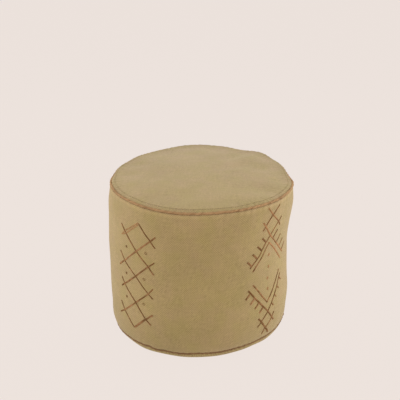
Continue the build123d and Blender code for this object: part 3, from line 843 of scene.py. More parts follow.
def cloth(name, light, dark, pitch, slant=0, sheen=0.1, roughness=0.85, depth=0.1 * MM, wear_and_painted_light=False):
    """Woven cloth: warp and weft of two shades, slubs, and slow mottling over the piece."""
    nodes = Nodes(name, roughness, sheen)
    place = nodes.turn(nodes.uv(), slant) if slant else nodes.uv()
    tone, relief = woven(nodes, nodes.sway(place, 1.2 * pitch, 16 * pitch), pitch)
    colour = mottled(nodes, nodes.mix(nodes.spread(tone, *TONE_RANGE), dark, light))
    # Painted light and shade on the canvas: a sheen on top, shade near the floor and a highlight below the
    # top piping
    if wear_and_painted_light:
        colour = painted_light_and_shade(nodes, colour)
    soft = nodes.bump(nodes.noise(nodes.place(), 60.0, 3.0, 0.6), 0.5 * MM, 0.5)
    return nodes.finish(colour, nodes.bump(relief, depth, 0.8, Normal=soft))


def piping_cloth(name, light, dark, dirt_and_shade):
    """Cloth on the bias round a cord: drag lines slant along it, it is darkened in patches, and it has soil
    and painted shade on its underside and near the floor.
    """
    nodes = Nodes(name, 0.75, 0.1, specular=0.15)
    place, body = nodes.uv(), nodes.place()
    height, _ = weave(nodes, nodes.turn(place, 45), 1.7 * MM)
    fuzz = nodes.noise(place, 1 / MM, 3.0, 0.65)
    tone = nodes.plus(nodes.times(height, 0.5), fuzz)
    colour = nodes.mix(nodes.spread(tone, 0.4, 1.2), dark, light)
    drag = nodes.streaks(nodes.turn(place, 24), (1 / (22 * MM), 1 / (2.6 * MM), 1))
    for darkening in (
        (drag, 0.5, 0.68, 0.0, 0.6),
        (nodes.noise(body, 26.0, 3.0, 0.6), 0.45, 0.65, 0.0, 0.25),
        # Soil and painted shade on the tube's underside, darker further below its outermost line
        (nodes.axes(place)[1], 0.0, 2.4 * MM, 0.0, 0.6),
        # Soil and painted shade near the floor, where the base piping lies under the wall
        (nodes.axes(body)[2], 0.0, 70 * MM, 0.75, 0.0),
    ):
        colour = nodes.mix(nodes.spread(*darkening), colour, dirt_and_shade)
    relief = nodes.bump(drag, 0.5 * MM, 0.6)
    return nodes.finish(colour, nodes.bump(nodes.plus(height, fuzz), 0.16 * MM, 0.8, Normal=relief))


def thread_cloth(name, dark, light, sheen, roughness, faded=None):
    """Spun thread: its shade comes from each thread's own tone, with fine twist marks. Thread that
    has faded does so towards the back of the pouf."""
    nodes = Nodes(name, roughness, sheen, specular=0.15)
    tone = nodes.add("Attribute", attribute_name="tone").outputs["Fac"]
    place = nodes.place()
    grain = nodes.noise(place, 900.0, 2.0, 0.6)
    patches = nodes.spread(nodes.noise(place, 55.0), 0.3, 0.7, -0.25, 0.25)
    colour = nodes.mix(nodes.plus(tone, patches, clamp=True), dark, light)
    if faded:
        colour = nodes.mix(nodes.spread(nodes.axes(place)[1], -190 * MM, -70 * MM), colour, faded)
    shade = nodes.spread(grain, 0.3, 0.7, 0.82, 1.12)
    grey = nodes.add("CombineColor", {0: shade, 1: shade, 2: shade}).outputs[0]
    return nodes.finish(nodes.mix(1.0, colour, grey, "MULTIPLY"), nodes.bump(grain, 0.1 * MM, 0.6))


def metal(name, colour, wear_and_painted_light):
    """Plated metal, dull in patches, with fine scratches."""
    nodes = Nodes(name, 0.35, metallic=1.0)
    place = nodes.place()
    patches = nodes.noise(place, 420.0, 4.0, 0.6)
    scratches = nodes.streaks(place, (250, 3000, 2000))
    mixed = nodes.mix(nodes.spread(patches, 0.35, 0.65), colour, wear_and_painted_light)
    roughness = nodes.spread(nodes.plus(patches, scratches), 0.6, 1.4, 0.28, 0.5)
    return nodes.finish(mixed, nodes.bump(scratches, 0.02 * MM, 0.5), Roughness=roughness)


def plastic(name, colour, dark):
    """Nylon of a zip's coils."""
    nodes = Nodes(name, 0.42)
    speck = nodes.noise(nodes.place(), 700.0, 3.0, 0.6)
    mixed = nodes.mix(nodes.spread(speck, 0.3, 0.7), colour, dark)
    roughness = nodes.spread(speck, 0.3, 0.7, 0.36, 0.5)
    return nodes.finish(mixed, nodes.bump(speck, 0.03 * MM, 0.5), Roughness=roughness)


def fibre(name, light, dark):
    """Loose stuffing fibre, or the twisted fibre of a cord."""
    nodes = Nodes(name, 0.95, 0.4)
    place = nodes.place()
    strands = nodes.noise(place, 300.0, 5.0, 0.7)
    clumps = nodes.noise(place, 30.0, 3.0, 0.6)
    share = nodes.spread(nodes.plus(strands, clumps), 0.7, 1.3)
    return nodes.finish(nodes.mix(share, dark, light), nodes.bump(strands, 1.0 * MM, 0.7))


# The look of a piece: its material and its slot
CLOTH = (cloth(
    "canvas_cloth", linear(196, 172, 116), linear(128, 107, 62), 2.7 * MM,
    # The canvas gets a painted sheen on top, painted shade near the floor and a painted highlight below the
    # top piping
    sheen=0.3, depth=0.22 * MM, wear_and_painted_light=True,
), "canvas")
PIPING = (piping_cloth(
    # The last colour darkens drag lines and patches, and gives soil and painted shade under the tube and near
    # the floor
    "piping_cloth", linear(204, 165, 119), linear(156, 121, 80), linear(100, 70, 40),
), "piping_cloth")
TAPE = (cloth(
    "zip_tape_cloth", linear(132, 115, 84), linear(96, 82, 58), 0.7 * MM, slant=45, roughness=0.8,
), "zip_tape")
LINING_CLOTH = (cloth(
    "lining_cloth", linear(232, 227, 214), linear(205, 198, 182), 0.9 * MM, roughness=0.9,
), "lining")
EMBROIDERY = (thread_cloth(
    "embroidery_thread_look", linear(130, 92, 50), linear(202, 152, 106), 0.08, 0.6,
), "embroidery_thread")
SEWING = (thread_cloth(
    "sewing_thread_look", linear(54, 46, 12), linear(82, 72, 26), 0.05, 0.7, linear(168, 150, 106),
), "sewing_thread")
METAL = metal("zip_metal_look", linear(150, 118, 74), linear(98, 76, 48))
NYLON = (plastic("zip_coil_look", linear(128, 108, 74), linear(104, 86, 58)), "zip_coil")
FIBRE = (fibre("stuffing_look", linear(238, 234, 224), linear(208, 202, 188)), "stuffing")
CORD = (fibre("cord_look", linear(228, 220, 200), linear(196, 184, 158)), "cotton_cord")

# --- Cover: top panel, wall band and base panels ---

drape = simulate_drape()

ROLL_RISE = 0.3 * MM
ROLL_WIDTH = 3.0 * MM
ZIP_HALF = 163 * MM
ZIP_OPENING = 5.2 * MM
ZIP_ENDS = 0.1 * MM


def top_surface(radius):
    """Height of the top panel: crown, stitched groove, and the roll between stitches and piping."""
    groove = GROOVE_DEPTH * bell(radius - STITCH_R, GROOVE_WIDTH)
    return crown_height(radius) - groove + ROLL_RISE * bell(radius - ROLL_R, ROLL_WIDTH)


def make_top_panel():
    edge = EDGE_R - 0.5 * MM
    radii = np.append(line(3 * MM, 196 * MM, 46), np.linspace(196 * MM, edge, 34))
    upper = joined(radii, top_surface(radii))
    edge_z = upper[-1, 1]
    fold = bend((edge, (edge_z + TURNED_TOP) / 2), (edge_z - TURNED_TOP) / 2, 75, -90, 6)
    turned_in, over_it = (TURNED_IN_R, TURNED_TOP), (TURNED_IN_R, TURNED_TOP + CANVAS)
    out_again = line(over_it, (EDGE_R - 1.6 * MM, TURNED_TOP + CANVAS), 4)
    hem = np.vstack([line((edge, TURNED_TOP), turned_in, 4), turned_in, out_again])
    under = np.linspace(EDGE_R - 2.0 * MM, 3 * MM, 26)
    lower = joined(under, top_surface(under) - CANVAS)
    section = np.vstack([upper, fold, hem, lower])
    headings = headings_for(760)
    round_piece("top_panel_cloth", "top_panel", CLOTH, section, headings, closed=False)


def make_side_band():
    low, high = 60 * MM, 340 * MM
    heights = np.concatenate([line(WALL_LOW, low, 18), line(low, high, 46), np.linspace(high, WALL_HIGH, 20)])
    outer = joined(wall_radius(heights), heights)
    groove_in = (TOP_PIPE_R - 2.8 * MM, TURNED_LOW)
    groove = line((TOP_PIPE_R - 1.0 * MM, TOP_PIPE_Z - 2.9 * MM), groove_in, 2)
    turned_in = (TURNED_IN_R, TURNED_LOW)
    back = [turned_in, (TURNED_IN_R, TURNED_LOW - CANVAS), (TOP_PIPE_R - 3.2 * MM, TURNED_LOW - CANVAS)]
    inside = np.linspace(WALL_HIGH, WALL_LOW, 12)
    inner = joined(wall_radius(inside) - CANVAS, inside)
    hem = [(HEM_R + CANVAS, HEM_TOP), (HEM_R, HEM_TOP), (HEM_R, HEM_LOW), (HEM_R + CANVAS, HEM_LOW)]
    section = np.vstack([outer, groove, line(groove_in, turned_in, 2), back, inner, hem])
    headings = headings_for(820, close_up=SEAM_HEADING)
    round_piece("side_band_cloth", "side_band", CLOTH, section, headings)


def base_section():
    """Half-section of the base: hollow in the middle, on the floor at the rim, and up to its hem."""
    radii = np.concatenate([
        [0.02 * MM],
        np.linspace(8 * MM, 158 * MM, 26),
        np.array([161, 162.4, 163, 163.4, 164.4, 168, 172]) * MM,
        np.linspace(DISH_R, DISH_EDGE_R, 8),
        [197 * MM, 200 * MM],
    ])
    rise = DISH_Z * (1 - smooth(radii, DISH_R - 3 * MM, DISH_EDGE_R + 2 * MM))
    roll = np.radians(np.linspace(-90, 0, 12))
    edge = joined(BASE_ROLL_R + BASE_ROLL * np.cos(roll), BASE_ROLL + BASE_ROLL * np.sin(roll))
    hem = np.array([(PANEL_HEM_R, z) for z in np.linspace(BASE_ROLL, HEM_TOP, 4)[1:]])
    outer = np.vstack([joined(radii, rise), edge, hem])
    inner_edge = edge + (np.array([BASE_ROLL_R, BASE_ROLL]) - edge) * CANVAS / BASE_ROLL
    inner = np.vstack([joined(radii, rise + CANVAS), inner_edge, hem - (CANVAS, 0)])
    return np.vstack([outer, inner[::-1]])


def make_base_panels():
    """Two halves of the base, parted for the zip."""
    for side, sign in (("front", 1), ("back", -1)):
        ideal = turned(base_section(), np.linspace(-math.pi / 2, math.pi / 2, 361))
        x, away = ideal[..., 0], np.abs(ideal[..., 1])
        opened = 1 - smooth(np.abs(x), ZIP_HALF, ZIP_HALF + MM)
        gap = ZIP_ENDS + (ZIP_OPENING - ZIP_ENDS) * opened
        furthest = np.sqrt(np.clip(PANEL_HEM_R**2 - x**2, (2 * gap) ** 2, None))
        ideal[..., 1] = -sign * (gap + away * (1 - gap / furthest))
        faces = [face[::-sign] for face in strip_faces(*ideal.shape[:2])]
        uvs = ideal.reshape(-1, 3)[np.array(faces).ravel(), :2]
        verts, name = settle(ideal).reshape(-1, 3), f"base_panel_{side}"
        add_piece(f"{name}_cloth", name, CLOTH, verts, faces, uvs)


make_top_panel()
make_side_band()
make_base_panels()

# --- Piping: bias cloth round a cord, with its flange in the seam ---

ARC_POINTS = 26
# How much of the drag lines shows at each end of the tube's arc, where it leaves the seam
ARC_START, ARC_END = (0, 0.4, 0.8), (0.8, 0.4, 0)
DRAG = 0.26 * MM
CROSS_DRAG = 0.14 * MM
JOIN_LUMP, JOIN_LUMP_WIDTH = 0.8 * MM, 8 * MM
JOIN_CLEFT, JOIN_CLEFT_WIDTH = 2.4 * MM, 1.2 * MM
BORE_GAP = 0.05 * MM


def tube_push(headings, around, run_radius, pitch):
    """How far the cloth stands off the tube: drag lines twist along it, and its ends meet in a lump."""
    phase = TURN * (headings * run_radius) / pitch + 1.1 * PIPE_WAVES(headings, 0 * headings)
    around = around[:, None]
    drag = DRAG * np.sin(phase + 1.5 * around) + CROSS_DRAG * np.sin(2.3 * phase - around)
    from_join = apart(headings, JOIN_HEADING) * run_radius
    lump = JOIN_LUMP * bell(from_join, JOIN_LUMP_WIDTH)
    return drag + lump - JOIN_CLEFT * bell(from_join, JOIN_CLEFT_WIDTH)


def make_piping(place, centre, tube, cord, flange, first, last, pitch):
    """A tube with a flange, and the cord inside it. Angles in degrees."""
    section = np.vstack([flange, bend(centre, tube, first, last, ARC_POINTS)])
    headings = headings_for(900, close_up=JOIN_HEADING)
    none = np.zeros(len(flange))
    around = np.append(none, np.radians(line(first, last, ARC_POINTS)))
    on_tube = np.concatenate([none, ARC_START, np.ones(ARC_POINTS - 6), ARC_END])
    push = tube_push(headings, around, centre[0], pitch) * on_tube[:, None]
    out, up = np.cos(around)[:, None] * push, np.sin(around)[:, None] * push
    tube_verts = settle(turned(section, headings) + spots_at(out, headings, up)).reshape(-1, 3)
    tube_quads, steps = grid_faces(len(section), len(headings), wrap_rows=True)
    # The cloth's second coordinate is 0 where the tube stands out furthest, and grows downwards
    lengths = run_lengths(section)
    lengths -= lengths[np.argmax(section[:, 0])]
    turns = np.append(headings, headings[0] + TURN)
    tube_uvs = np.stack([turns[steps[:, 1]] * centre[0], lengths[steps[:, 0]]], axis=-1)
    spots = headings_for(360)
    bore = settle(turned(bend(centre, cord + BORE_GAP, 0, 360, 10), spots))
    bore_quads, steps = grid_faces(*bore.shape[:2], wrap_rows=True, first=len(tube_verts))
    verts, faces = np.vstack([tube_verts, bore.reshape(-1, 3)]), tube_quads.tolist() + bore_quads.tolist()
    uvs = np.vstack([tube_uvs, steps * MM])
    add_piece(f"{place}_piping_cloth", f"{place}_piping_cover", PIPING, verts, faces, uvs)
    core = bend(centre, cord, 360, 0, 10)
    round_piece(f"{place}_piping_core", f"{place}_piping_cord", CORD, core, spots)


def make_pipings():
    """Both pipings; each arc starts and ends where its circle meets the seam."""
    top = (TOP_PIPE_R, TOP_PIPE_Z)
    first = 180 - math.degrees(math.asin((TURNED_TOP - TOP_PIPE_Z) / TOP_PIPE))
    last = -180 - math.degrees(math.asin((TURNED_LOW - TOP_PIPE_Z) / TOP_PIPE))
    flange = [(TURNED_IN_R, TURNED_LOW), (TURNED_IN_R, TURNED_TOP)]
    make_piping("top", top, TOP_PIPE, TOP_CORD, flange, first, last, 17 * MM)
    base = (BASE_PIPE_R, BASE_PIPE_Z)
    first = math.degrees(math.acos((HEM_R - BASE_PIPE_R) / BASE_PIPE))
    flange = [(PANEL_HEM_R, BASE_PIPE_Z), (PANEL_HEM_R, HEM_TOP), (HEM_R, HEM_TOP)]
    make_piping("base", base, BASE_PIPE, BASE_CORD, flange, first, -180, 14 * MM)


make_pipings()

# --- Sewing stitches ---

STITCH_LENGTH = 3.5 * MM
STITCH_GAP = 0.7 * MM
STITCH_SHARES = np.linspace(-0.5, 0.5, 6)
STITCH_RISE = np.array([-1.2, 0.1, 0.7, 0.7, 0.1, -1.2])
TOPSTITCH = 0.36 * MM
SUNK = 0.2 * THREAD
UP, DOWN = (0, 0, 1), (0, 0, -1)


def stitch_row(name, node, run, spot, up, fine=True, radius=THREAD):
    """Lock stitches along a seam: spot gives points at distances along it, up the way they stand."""
    count = max(int(round(run / STITCH_LENGTH)), 1)
    middles = (np.arange(count) + 0.5) * run / count
    along = middles[:, None] + STITCH_SHARES * (run / count - STITCH_GAP)
    upward = up(along) if callable(up) else np.broadcast_to(np.array(up, float), along.shape + (3,))
    ideal = spot(along) + upward * (STITCH_RISE * THREAD)[None, :, None]
    placed = settle(ideal, fine)
    raised = settle(ideal + upward * 0.2 * MM, fine) - placed
    tones = np.random.default_rng(31).uniform(0.2, 0.8, count)
    threads(name, node, SEWING, placed, raised, radius, tones)


def ring_stitches(name, node, radius, height, up, thickness=THREAD):
    def spot(along):
        return spots_at(radius, along / radius, height)

    stitch_row(name, node, TURN * radius, spot, up, radius=thickness)


def inward(along):
    return spots_at(-1, along / PANEL_HEM_R, 0)


def make_ring_seams():
    height = top_surface(STITCH_R) + 0.6 * THREAD
    ring_stitches("top_stitches", "top_stitch_thread", STITCH_R, height, UP, TOPSTITCH)
    inner, height = outermost("top_seam_thread") - THREAD, TURNED_LOW - CANVAS - SUNK
    ring_stitches("top_seam_stitches", "top_seam_thread", inner, height, DOWN)
    inner, height = PANEL_HEM_R - CANVAS - SUNK, (BASE_ROLL + HEM_TOP) / 2
    ring_stitches("base_seam_stitches", "base_seam_thread", inner, height, inward)


def make_side_seam():
    low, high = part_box("side_seam_thread")

    def up_seam(along):
        height = low.z + along
        return spots_at(wall_radius(height) - (2 * CANVAS + SUNK), SEAM_HEADING, height)

    inwards = spots_at(-1, SEAM_HEADING, 0)
    stitch_row("side_seam_stitches", "side_seam_thread", high.z - low.z, up_seam, inwards, fine=False)


def make_zip_seams():
    for side, sign in (("front", -1), ("back", 1)):
        middle = sign * (ZIP_OPENING + 2.5 * MM)

        def across_base(along):
            return joined(along - ZIP_HALF, middle, DISH_Z - SUNK)

        stitch_row(f"zip_stitches_{side}", f"zip_thread_{side}", 2 * ZIP_HALF, across_base, DOWN)


make_ring_seams()
make_side_seam()
make_zip_seams()

# --- Embroidery: satin stitch lines and little knots, on the front and again on the back ---

DRAW_R = 226 * MM
SATIN_PITCH = 0.62 * MM
SATIN_THREAD = 0.34 * MM
SATIN_HEIGHT = 0.75 * MM
SATIN_SLANT = math.radians(18)
SATIN_SHARES = np.array([-1, -0.72, -0.28, 0.28, 0.72, 1])
SATIN_RISE = np.array([-0.55, 0.62, 1.0, 1.0, 0.62, -0.55])
LAYERS = 3
LAYER_RISE = 0.08 * MM

# How unevenly the stitches are laid: in length, slant, place, width and tone
UNEVEN_LENGTH = (0.9, 1.1)
UNEVEN_SLANT = 0.05
UNEVEN_PLACE = 0.22 * MM
UNEVEN_WIDTH = (0.88, 1.12)
UNEVEN_TONE, PATCH_TONE, PATCH_LENGTH = 0.12, 0.2, 9 * MM

LATTICE_U = -168.5
ARROWS_U = 190.0

# Each line of the two motifs in millimetres, as (along the wall, height): points, width, tone
LATTICE_LINES = [
    ([(14, 344), (51, 307), (64, 292)], 3.8, 0.2),
    ([(-47, 325), (-28, 308), (10, 272), (46, 241), (61, 222)], 3.6, 0.25),
    ([(-50, 253), (-32, 234), (7, 204), (43, 168), (56, 157)], 3.6, 0.3),
    ([(-48, 183), (-37, 168), (4, 132), (32, 97), (48, 84)], 3.8, 0.25),
    ([(-54, 115), (-39, 95), (-16, 71), (-4, 60)], 3.4, 0.15),
    ([(-44, 298), (-31, 311), (13, 345)], 2.0, 0.85),
    ([(-38, 300), (-26, 307), (13, 340)], 2.0, 0.8),
    ([(-54, 215), (-30, 234), (10, 271), (50, 307), (64, 321)], 3.8, 0.45),
    ([(-50, 158), (-36, 169), (7, 204), (46, 241), (63, 255)], 3.8, 0.3),
    ([(-59, 81), (-39, 95), (4, 132), (43, 168), (57, 184)], 3.6, 0.4),
    ([(-3, 61), (32, 95), (54, 113)], 4.6, 0.3),
]
ARROW_LINES = [
    ([(-61, 233), (-34, 260), (-22, 282), (-5, 303), (35, 339)], 4.2, 0.25),
    ([(-34, 343), (-26, 331), (-8, 307), (23, 276), (74, 230)], 4.2, 0.65),
    ([(-52, 222), (-26, 252), (-6, 285)], 4.2, 0.3),
    ([(-6, 285), (23, 258), (61, 218)], 4.0, 0.75),
    ([(18, 374), (-5, 356), (-22, 336), (-33, 321)], 3.8, 0.25),
    ([(-22, 377), (-4, 355), (28, 325), (33, 317)], 3.8, 0.55),
    ([(-64, 175), (-38, 141), (0, 98), (26, 63)], 4.8, 0.15),
    ([(59, 178), (40, 147), (0, 98), (-23, 77), (-35, 65)], 3.8, 0.15),
    ([(-50, 186), (-33, 164), (-3, 124)], 4.2, 0.3),
    ([(-3, 124), (21, 148), (36, 167), (53, 191)], 3.8, 0.25),
    ([(26, 86), (10, 65), (-9, 52), (-17, 37)], 3.8, 0.25),
    ([(-33, 89), (-23, 77), (8, 33)], 5.4, 0.1),
]
# Rows of ticks on the outer arms: (root of the first, root of the last, tick, width, tone)
ARROW_COMBS = [
    ((-56, 238), (-18, 289), (-14, 14), 4.8, 0.2),
    ((9, 293), (69, 237), (16, 14), 3.8, 0.3),
    ((-58, 166), (-17, 117), (-14, -13), 5.2, 0.55),
    ((55, 168), (14, 115), (9, -10), 3.6, 0.3),
]
ARROW_TICKS = 4
# Rings of short stitches: places, and the radius, number, length and tone of each ring's stitches
LATTICE_DOTS = [
    ([(-24, 272), (-26, 201), (-29, 136)], (1.5, 9, 4.6, 0.0)),
    ([(39, 274), (33, 204), (29, 136)], (3.0, 8, 3.0, 0.0)),
]
ARROW_DOTS = [([(1, 250), (3, 218), (0, 188), (1, 159)], (2.3, 9, 3.8, 1.2))]


def directions(angle):
    return joined(np.cos(angle), np.sin(angle))


class Needlework:
    """Collects the stitches of one motif, drawn in millimetres on the wall."""

    def __init__(self, seed, lines, combs, dots):
        self.rng = np.random.default_rng(seed)
        self.spots, self.lifts, self.tones = [], [], []
        self.layer = 0
        for points, width, tone in lines:
            self.satin(points, width, tone)
        for first, last, tick, width, tone in combs:
            for root in np.linspace(first, last, ARROW_TICKS):
                self.satin([root, root + tick], width, tone)
        for places, ring in dots:
            for place in places:
                self.dot(place, *ring)

    def stitch(self, middles, ways, half, tone, rise=1.0):
        """Stitches centred on middles, each lying along its way and half as long either side."""
        count = len(middles)
        half = half * self.rng.uniform(*UNEVEN_LENGTH, count)
        offsets = SATIN_SHARES[None, :, None] * half[:, None, None] * ways[:, None, :]
        self.spots.append(middles[:, None, :] + offsets)
        lifts = np.tile(SATIN_RISE * rise, (count, 1)) * SATIN_HEIGHT + self.layer * LAYER_RISE
        self.lifts.append(lifts)
        self.tones.append(np.clip(tone + self.rng.normal(0, UNEVEN_TONE, count), 0, 1))

    def satin(self, points, width, tone):
        """A line of close slanted stitches along some points."""
        self.layer = (self.layer + 1) % LAYERS
        points = np.array(points, float) * MM
        steps = np.diff(points, axis=0)
        marks = np.concatenate([[0], np.cumsum(np.hypot(*steps.T))])
        length = marks[-1]
        run = np.arange(SATIN_PITCH / 2, length, SATIN_PITCH)
        middles = np.stack([np.interp(run, marks, points[:, axis]) for axis in (0, 1)], axis=-1)
        part = np.clip(np.searchsorted(marks, run) - 1, 0, len(steps) - 1)
        angle = np.arctan2(steps[part, 1], steps[part, 0]) + math.pi / 2 - SATIN_SLANT
        angle += self.rng.normal(0, UNEVEN_SLANT, len(run))
        wander = np.interp(run, np.linspace(0, length, 9), self.rng.normal(0, UNEVEN_PLACE, 9))
        swell = np.interp(run, np.linspace(0, length, 7), self.rng.uniform(*UNEVEN_WIDTH, 7))
        patch_marks = np.arange(0, length + PATCH_LENGTH, PATCH_LENGTH)
        patches = np.interp(run, patch_marks, self.rng.normal(0, PATCH_TONE, len(patch_marks)))
        ways = directions(angle)
        self.stitch(middles + ways * wander[:, None], ways, width / 2 * MM * swell, tone + patches)

    def dot(self, place, radius, count, length, tone):
        """A ring of short stitches that point at its middle."""
        self.layer = 0
        ways = directions(np.arange(count) * TURN / count + 0.4)
        middles = np.array(place) * MM + ways * radius * MM
        self.stitch(middles, ways, np.full(count, length / 2 * MM), tone, 0.8)

    def piece(self, name, node, heading):
        spots, lifts = np.concatenate(self.spots), np.concatenate(self.lifts)
        turn = heading + spots[..., 0] / DRAW_R

        def on_wall(lift):
            return spots_at(wall_radius(spots[..., 1]) + lift, turn, spots[..., 1])

        placed = settle(on_wall(lifts))
        raised = settle(on_wall(lifts + 0.3 * MM)) - placed
        threads(name, node, EMBROIDERY, placed, raised, SATIN_THREAD, np.concatenate(self.tones))


def make_embroidery():
    lattice = Needlework(41, LATTICE_LINES, [], LATTICE_DOTS)
    arrows = Needlework(43, ARROW_LINES, ARROW_COMBS, ARROW_DOTS)
    for side, facing in (("front", 0.0), ("back", math.pi)):
        for motif, work, middle in (("lattice", lattice, LATTICE_U), ("arrow", arrows, ARROWS_U)):
            heading = facing + middle * MM / DRAW_R
            work.piece(f"{motif}_stitches_{side}", f"{motif}_embroidery_{side}", heading)


make_embroidery()

# --- Zip: woven tapes, coils, and the CAD stops, slider and pull in worn brass ---

COIL_PITCH = 1.5 * MM
COIL_WIRE = 0.36 * MM
COIL_REACH = 0.38 * MM
COIL_OPEN = 0.8
RIDGE, RIDGE_WIDTH, RIDGE_INSET = 0.12 * MM, 0.5 * MM, 3.6 * MM


def make_tape(node, sign):
    """A woven strip with a ridge along its underside."""
    low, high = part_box(node)
    near, far = sorted((abs(low.y), abs(high.y)))
    across = np.linspace(near, far, 18)
    ridge = RIDGE * bell(across - near - RIDGE_INSET, RIDGE_WIDTH)
    y = sign * np.append(across, across[::-1])
    z = np.append(np.full(len(across), high.z - 0.02 * MM), (low.z - ridge)[::-1])
    verts = joined(np.linspace(low.x, high.x, 341), y[:, None], z[:, None])
    faces = [face[::sign] for face in strip_faces(*verts.shape[:2])]
    verts = verts.reshape(-1, 3)
    add_piece(f"{node}_cloth", node, TAPE, verts, faces, verts[np.array(faces).ravel(), :2])


def make_coil(node, sign):
    """A row of wire loops."""
    low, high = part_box(node)
    far = max(abs(low.y), abs(high.y))
    angle = line(0, TURN, 12)
    loop = np.arange(int((high.x - low.x) / COIL_PITCH))[:, None]
    x = low.x + COIL_PITCH * (loop + 0.5 + COIL_OPEN * (angle / TURN - 0.5))
    reach, drop = (far - COIL_REACH) / 2 - COIL_WIRE, (high.z - low.z) / 2 - COIL_WIRE
    y = sign * ((far + COIL_REACH) / 2 - reach * np.cos(angle))
    z = (high.z + low.z) / 2 + drop * np.sin(angle)
    loops = joined(x, y, z)
    ups = np.broadcast_to(np.array([1.0, 0, 0]), loops.shape)
    threads(f"{node}_loops", node, NYLON, loops, ups, COIL_WIRE)


def make_zip():
    for side, sign in (("front", -1), ("back", 1)):
        make_tape(f"zip_tape_{side}", sign)
        make_coil(f"zip_coil_{side}", sign)
    for node in ("zip_closed_stops", "zip_open_stop", "zip_slider", "zip_pull"):
        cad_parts[node].data.materials.clear()
        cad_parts[node].data.materials.append(METAL)


make_zip()

# --- Inner bag and stuffing ---

BAG_INSET = 3.4 * MM
BAG_SQUEEZE = 3.2 * MM
BAG_SHOULDER = 24 * MM
BAG_CROWN_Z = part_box("bag_top")[1].z
BAG_SHOULDER_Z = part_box("bag_side")[1].z
BAG_FLOOR_Z, BAG_FOOT_Z = (corner.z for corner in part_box("bag_base"))
BAG_FLOOR_R = 187.5 * MM
BAG_GAP = 0.04
STUFFING_GAP = 0.4 * MM
STUFFING_LUMPS = 0.9 * MM


def bag_outline():
    """Half-outline of the stuffed bag, from the middle of its top to the middle of its floor."""
    shoulder_r = wall_radius(BAG_SHOULDER_Z) - BAG_INSET - BAG_SHOULDER
    drop = BAG_CROWN_Z - (BAG_SHOULDER_Z + BAG_SHOULDER)
    radii = line(3 * MM, shoulder_r, 24)
    top = joined(radii, BAG_CROWN_Z - drop * (radii / shoulder_r) ** 2)
    shoulder = bend((shoulder_r, BAG_SHOULDER_Z), BAG_SHOULDER, 90, 0, 8)
    heights = line(BAG_SHOULDER_Z, BAG_FOOT_Z, 34)
    squeeze = BAG_SQUEEZE * (1 - smooth(heights, BAG_FOOT_Z, 70 * MM))
    side = joined(wall_radius(heights) - BAG_INSET - squeeze, heights)
    foot_r = side[-1, 0] - 1.2 * MM
    corner = directions(np.radians(line(0, -90, 9)))
    foot = (BAG_FLOOR_R, BAG_FOOT_Z) + corner * (foot_r - BAG_FLOOR_R, BAG_FOOT_Z - BAG_FLOOR_Z)
    floor_r = np.linspace(BAG_FLOOR_R, 3 * MM, 20)
    floor = joined(floor_r, BAG_FLOOR_Z + 0 * floor_r)
    return np.vstack([top, shoulder]), side, np.vstack([foot, floor])


def normals_in(section):
    """Inward unit normals of a section that runs from the top round the outside to the base."""
    along = np.gradient(section, axis=0)
    along /= np.hypot(*along.T)[:, None]
    return joined(along[:, 1], -along[:, 0])


def make_bag():
    parts = bag_outline()
    whole = np.vstack(parts)
    inner = whole + normals_in(whole) * LINING
    marks = np.cumsum([0] + [len(part) for part in parts])
    for name, first, last in zip(("bag_top", "bag_side", "bag_base"), marks, marks[1:]):
        at_foot = last == len(whole)
        skin, under = (points[first:last + (not at_foot)].copy() for points in (whole, inner))
        if not at_foot:
            for points in (skin, under):
                points[-1] += (points[-2] - points[-1]) * BAG_GAP
        section = np.vstack([under[::-1], skin] if at_foot else [skin, under[::-1]])
        round_piece(
            f"{name}_cloth", name, LINING_CLOTH, section, headings_for(300),
            closed=name == "bag_side", fine=False,
        )
    make_stuffing(whole)


def make_stuffing(outline):
    """The filling just inside the bag, pressed in along its creases."""
    filling = outline + normals_in(outline) * (LINING + STUFFING_GAP)
    piece = round_piece(
        "stuffing_fibre", "stuffing", FIBRE, filling, headings_for(360),
        closed=False, fine=False,
    )
    places = np.array([v.co for v in piece.data.vertices])
    heading = np.arctan2(places[:, 0], -places[:, 1])
    lumps = STUFFING_LUMPS * np.clip(BAG_CREASES(heading, places[:, 2] + places[:, 1]), 0, 3)
    away = places - (0, 0, MIDDLE_Z)
    places -= away / np.linalg.norm(away, axis=1)[:, None] * lumps[:, None]
    piece.data.vertices.foreach_set("co", places.astype(np.float32).ravel())


make_bag()

# --- Camera, light and floor ---

VIEW_DISTANCE = 2.25
VIEW_ELEVATION = math.radians(23.07)
VIEW_TARGET = Vector((0.8 * MM, 0, 328.2 * MM))
VIEW_LENS = 81.2
SENSOR_WIDTH = 36.0
BACKDROP = linear(236, 226, 220)
WORLD_STRENGTH = 0.35
FLOOR_HALF = 14.0
FLOOR_COLOUR = linear(40, 38, 37)
FLOOR_GLOW = 0.985

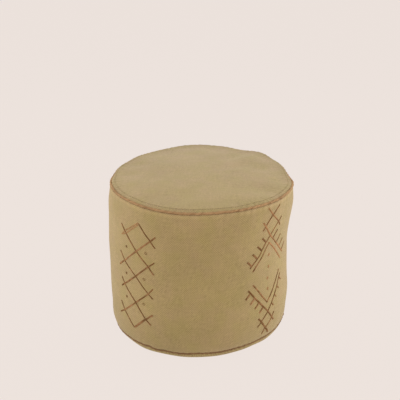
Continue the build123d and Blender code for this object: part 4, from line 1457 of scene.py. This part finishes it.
# Each softbox: place, size, watts and colour; all of them face LIT_POINT
LIT_POINT = Vector((0, 0, 0.2))
SIDE_COLOUR, WHITE = (1.0, 0.99, 0.95), (1.0, 1.0, 1.0)
SOFTBOXES = {
    "left_softbox": ((-2.2, 0.5, 0.9), (1.6, 2.0), 25.8, SIDE_COLOUR),
    "right_softbox": ((2.2, 0.5, 0.9), (1.6, 2.0), 32.2, SIDE_COLOUR),
    "top_softbox": ((0, 0.4, 2.2), (2.4, 1.8), 17.5, WHITE),
    "front_fill": ((0.2, -3.0, 1.5), (2.4, 1.6), 26.8, WHITE),
}


def make_camera():
    data = bpy.data.cameras.new("camera")
    data.lens, data.sensor_width = VIEW_LENS, SENSOR_WIDTH
    camera = add_object("camera", data)
    away = Vector((0, -math.cos(VIEW_ELEVATION), math.sin(VIEW_ELEVATION)))
    camera.location = VIEW_TARGET + VIEW_DISTANCE * away
    camera.rotation_euler = (math.pi / 2 - VIEW_ELEVATION, 0, 0)
    bpy.context.scene.camera = camera


def make_floor():
    """A pale floor that glows a little, so that it shows one even tone with a faint shadow."""
    mesh = bpy.data.meshes.new("floor")
    corners = [(x * FLOOR_HALF, y * FLOOR_HALF, 0) for x, y in ((-1, -1), (1, -1), (1, 1), (-1, 1))]
    mesh.from_pydata(corners, [], [(0, 1, 2, 3)])
    nodes = Nodes("floor_look", 0.9, specular=0.0)
    glow = {"Emission Color": BACKDROP, "Emission Strength": FLOOR_GLOW}
    nodes.fill(nodes.shader, {"Base Color": FLOOR_COLOUR, **glow})
    mesh.materials.append(nodes.material)
    add_object("floor", mesh)


def make_light():
    world = bpy.data.worlds.new("studio")
    world.use_nodes = True
    background = world.node_tree.nodes["Background"]
    background.inputs["Color"].default_value = BACKDROP
    background.inputs["Strength"].default_value = WORLD_STRENGTH
    bpy.context.scene.world = world
    for name, (place, size, power, colour) in SOFTBOXES.items():
        data = bpy.data.lights.new(name, "AREA")
        data.shape = "RECTANGLE"
        data.size, data.size_y = size
        data.energy, data.color = power, colour
        lamp = add_object(name, data)
        lamp.location = place
        lamp.rotation_euler = (LIT_POINT - Vector(place)).to_track_quat("-Z", "Y").to_euler()
    bpy.context.scene.view_settings.view_transform = "Standard"


make_camera()
make_floor()
make_light()
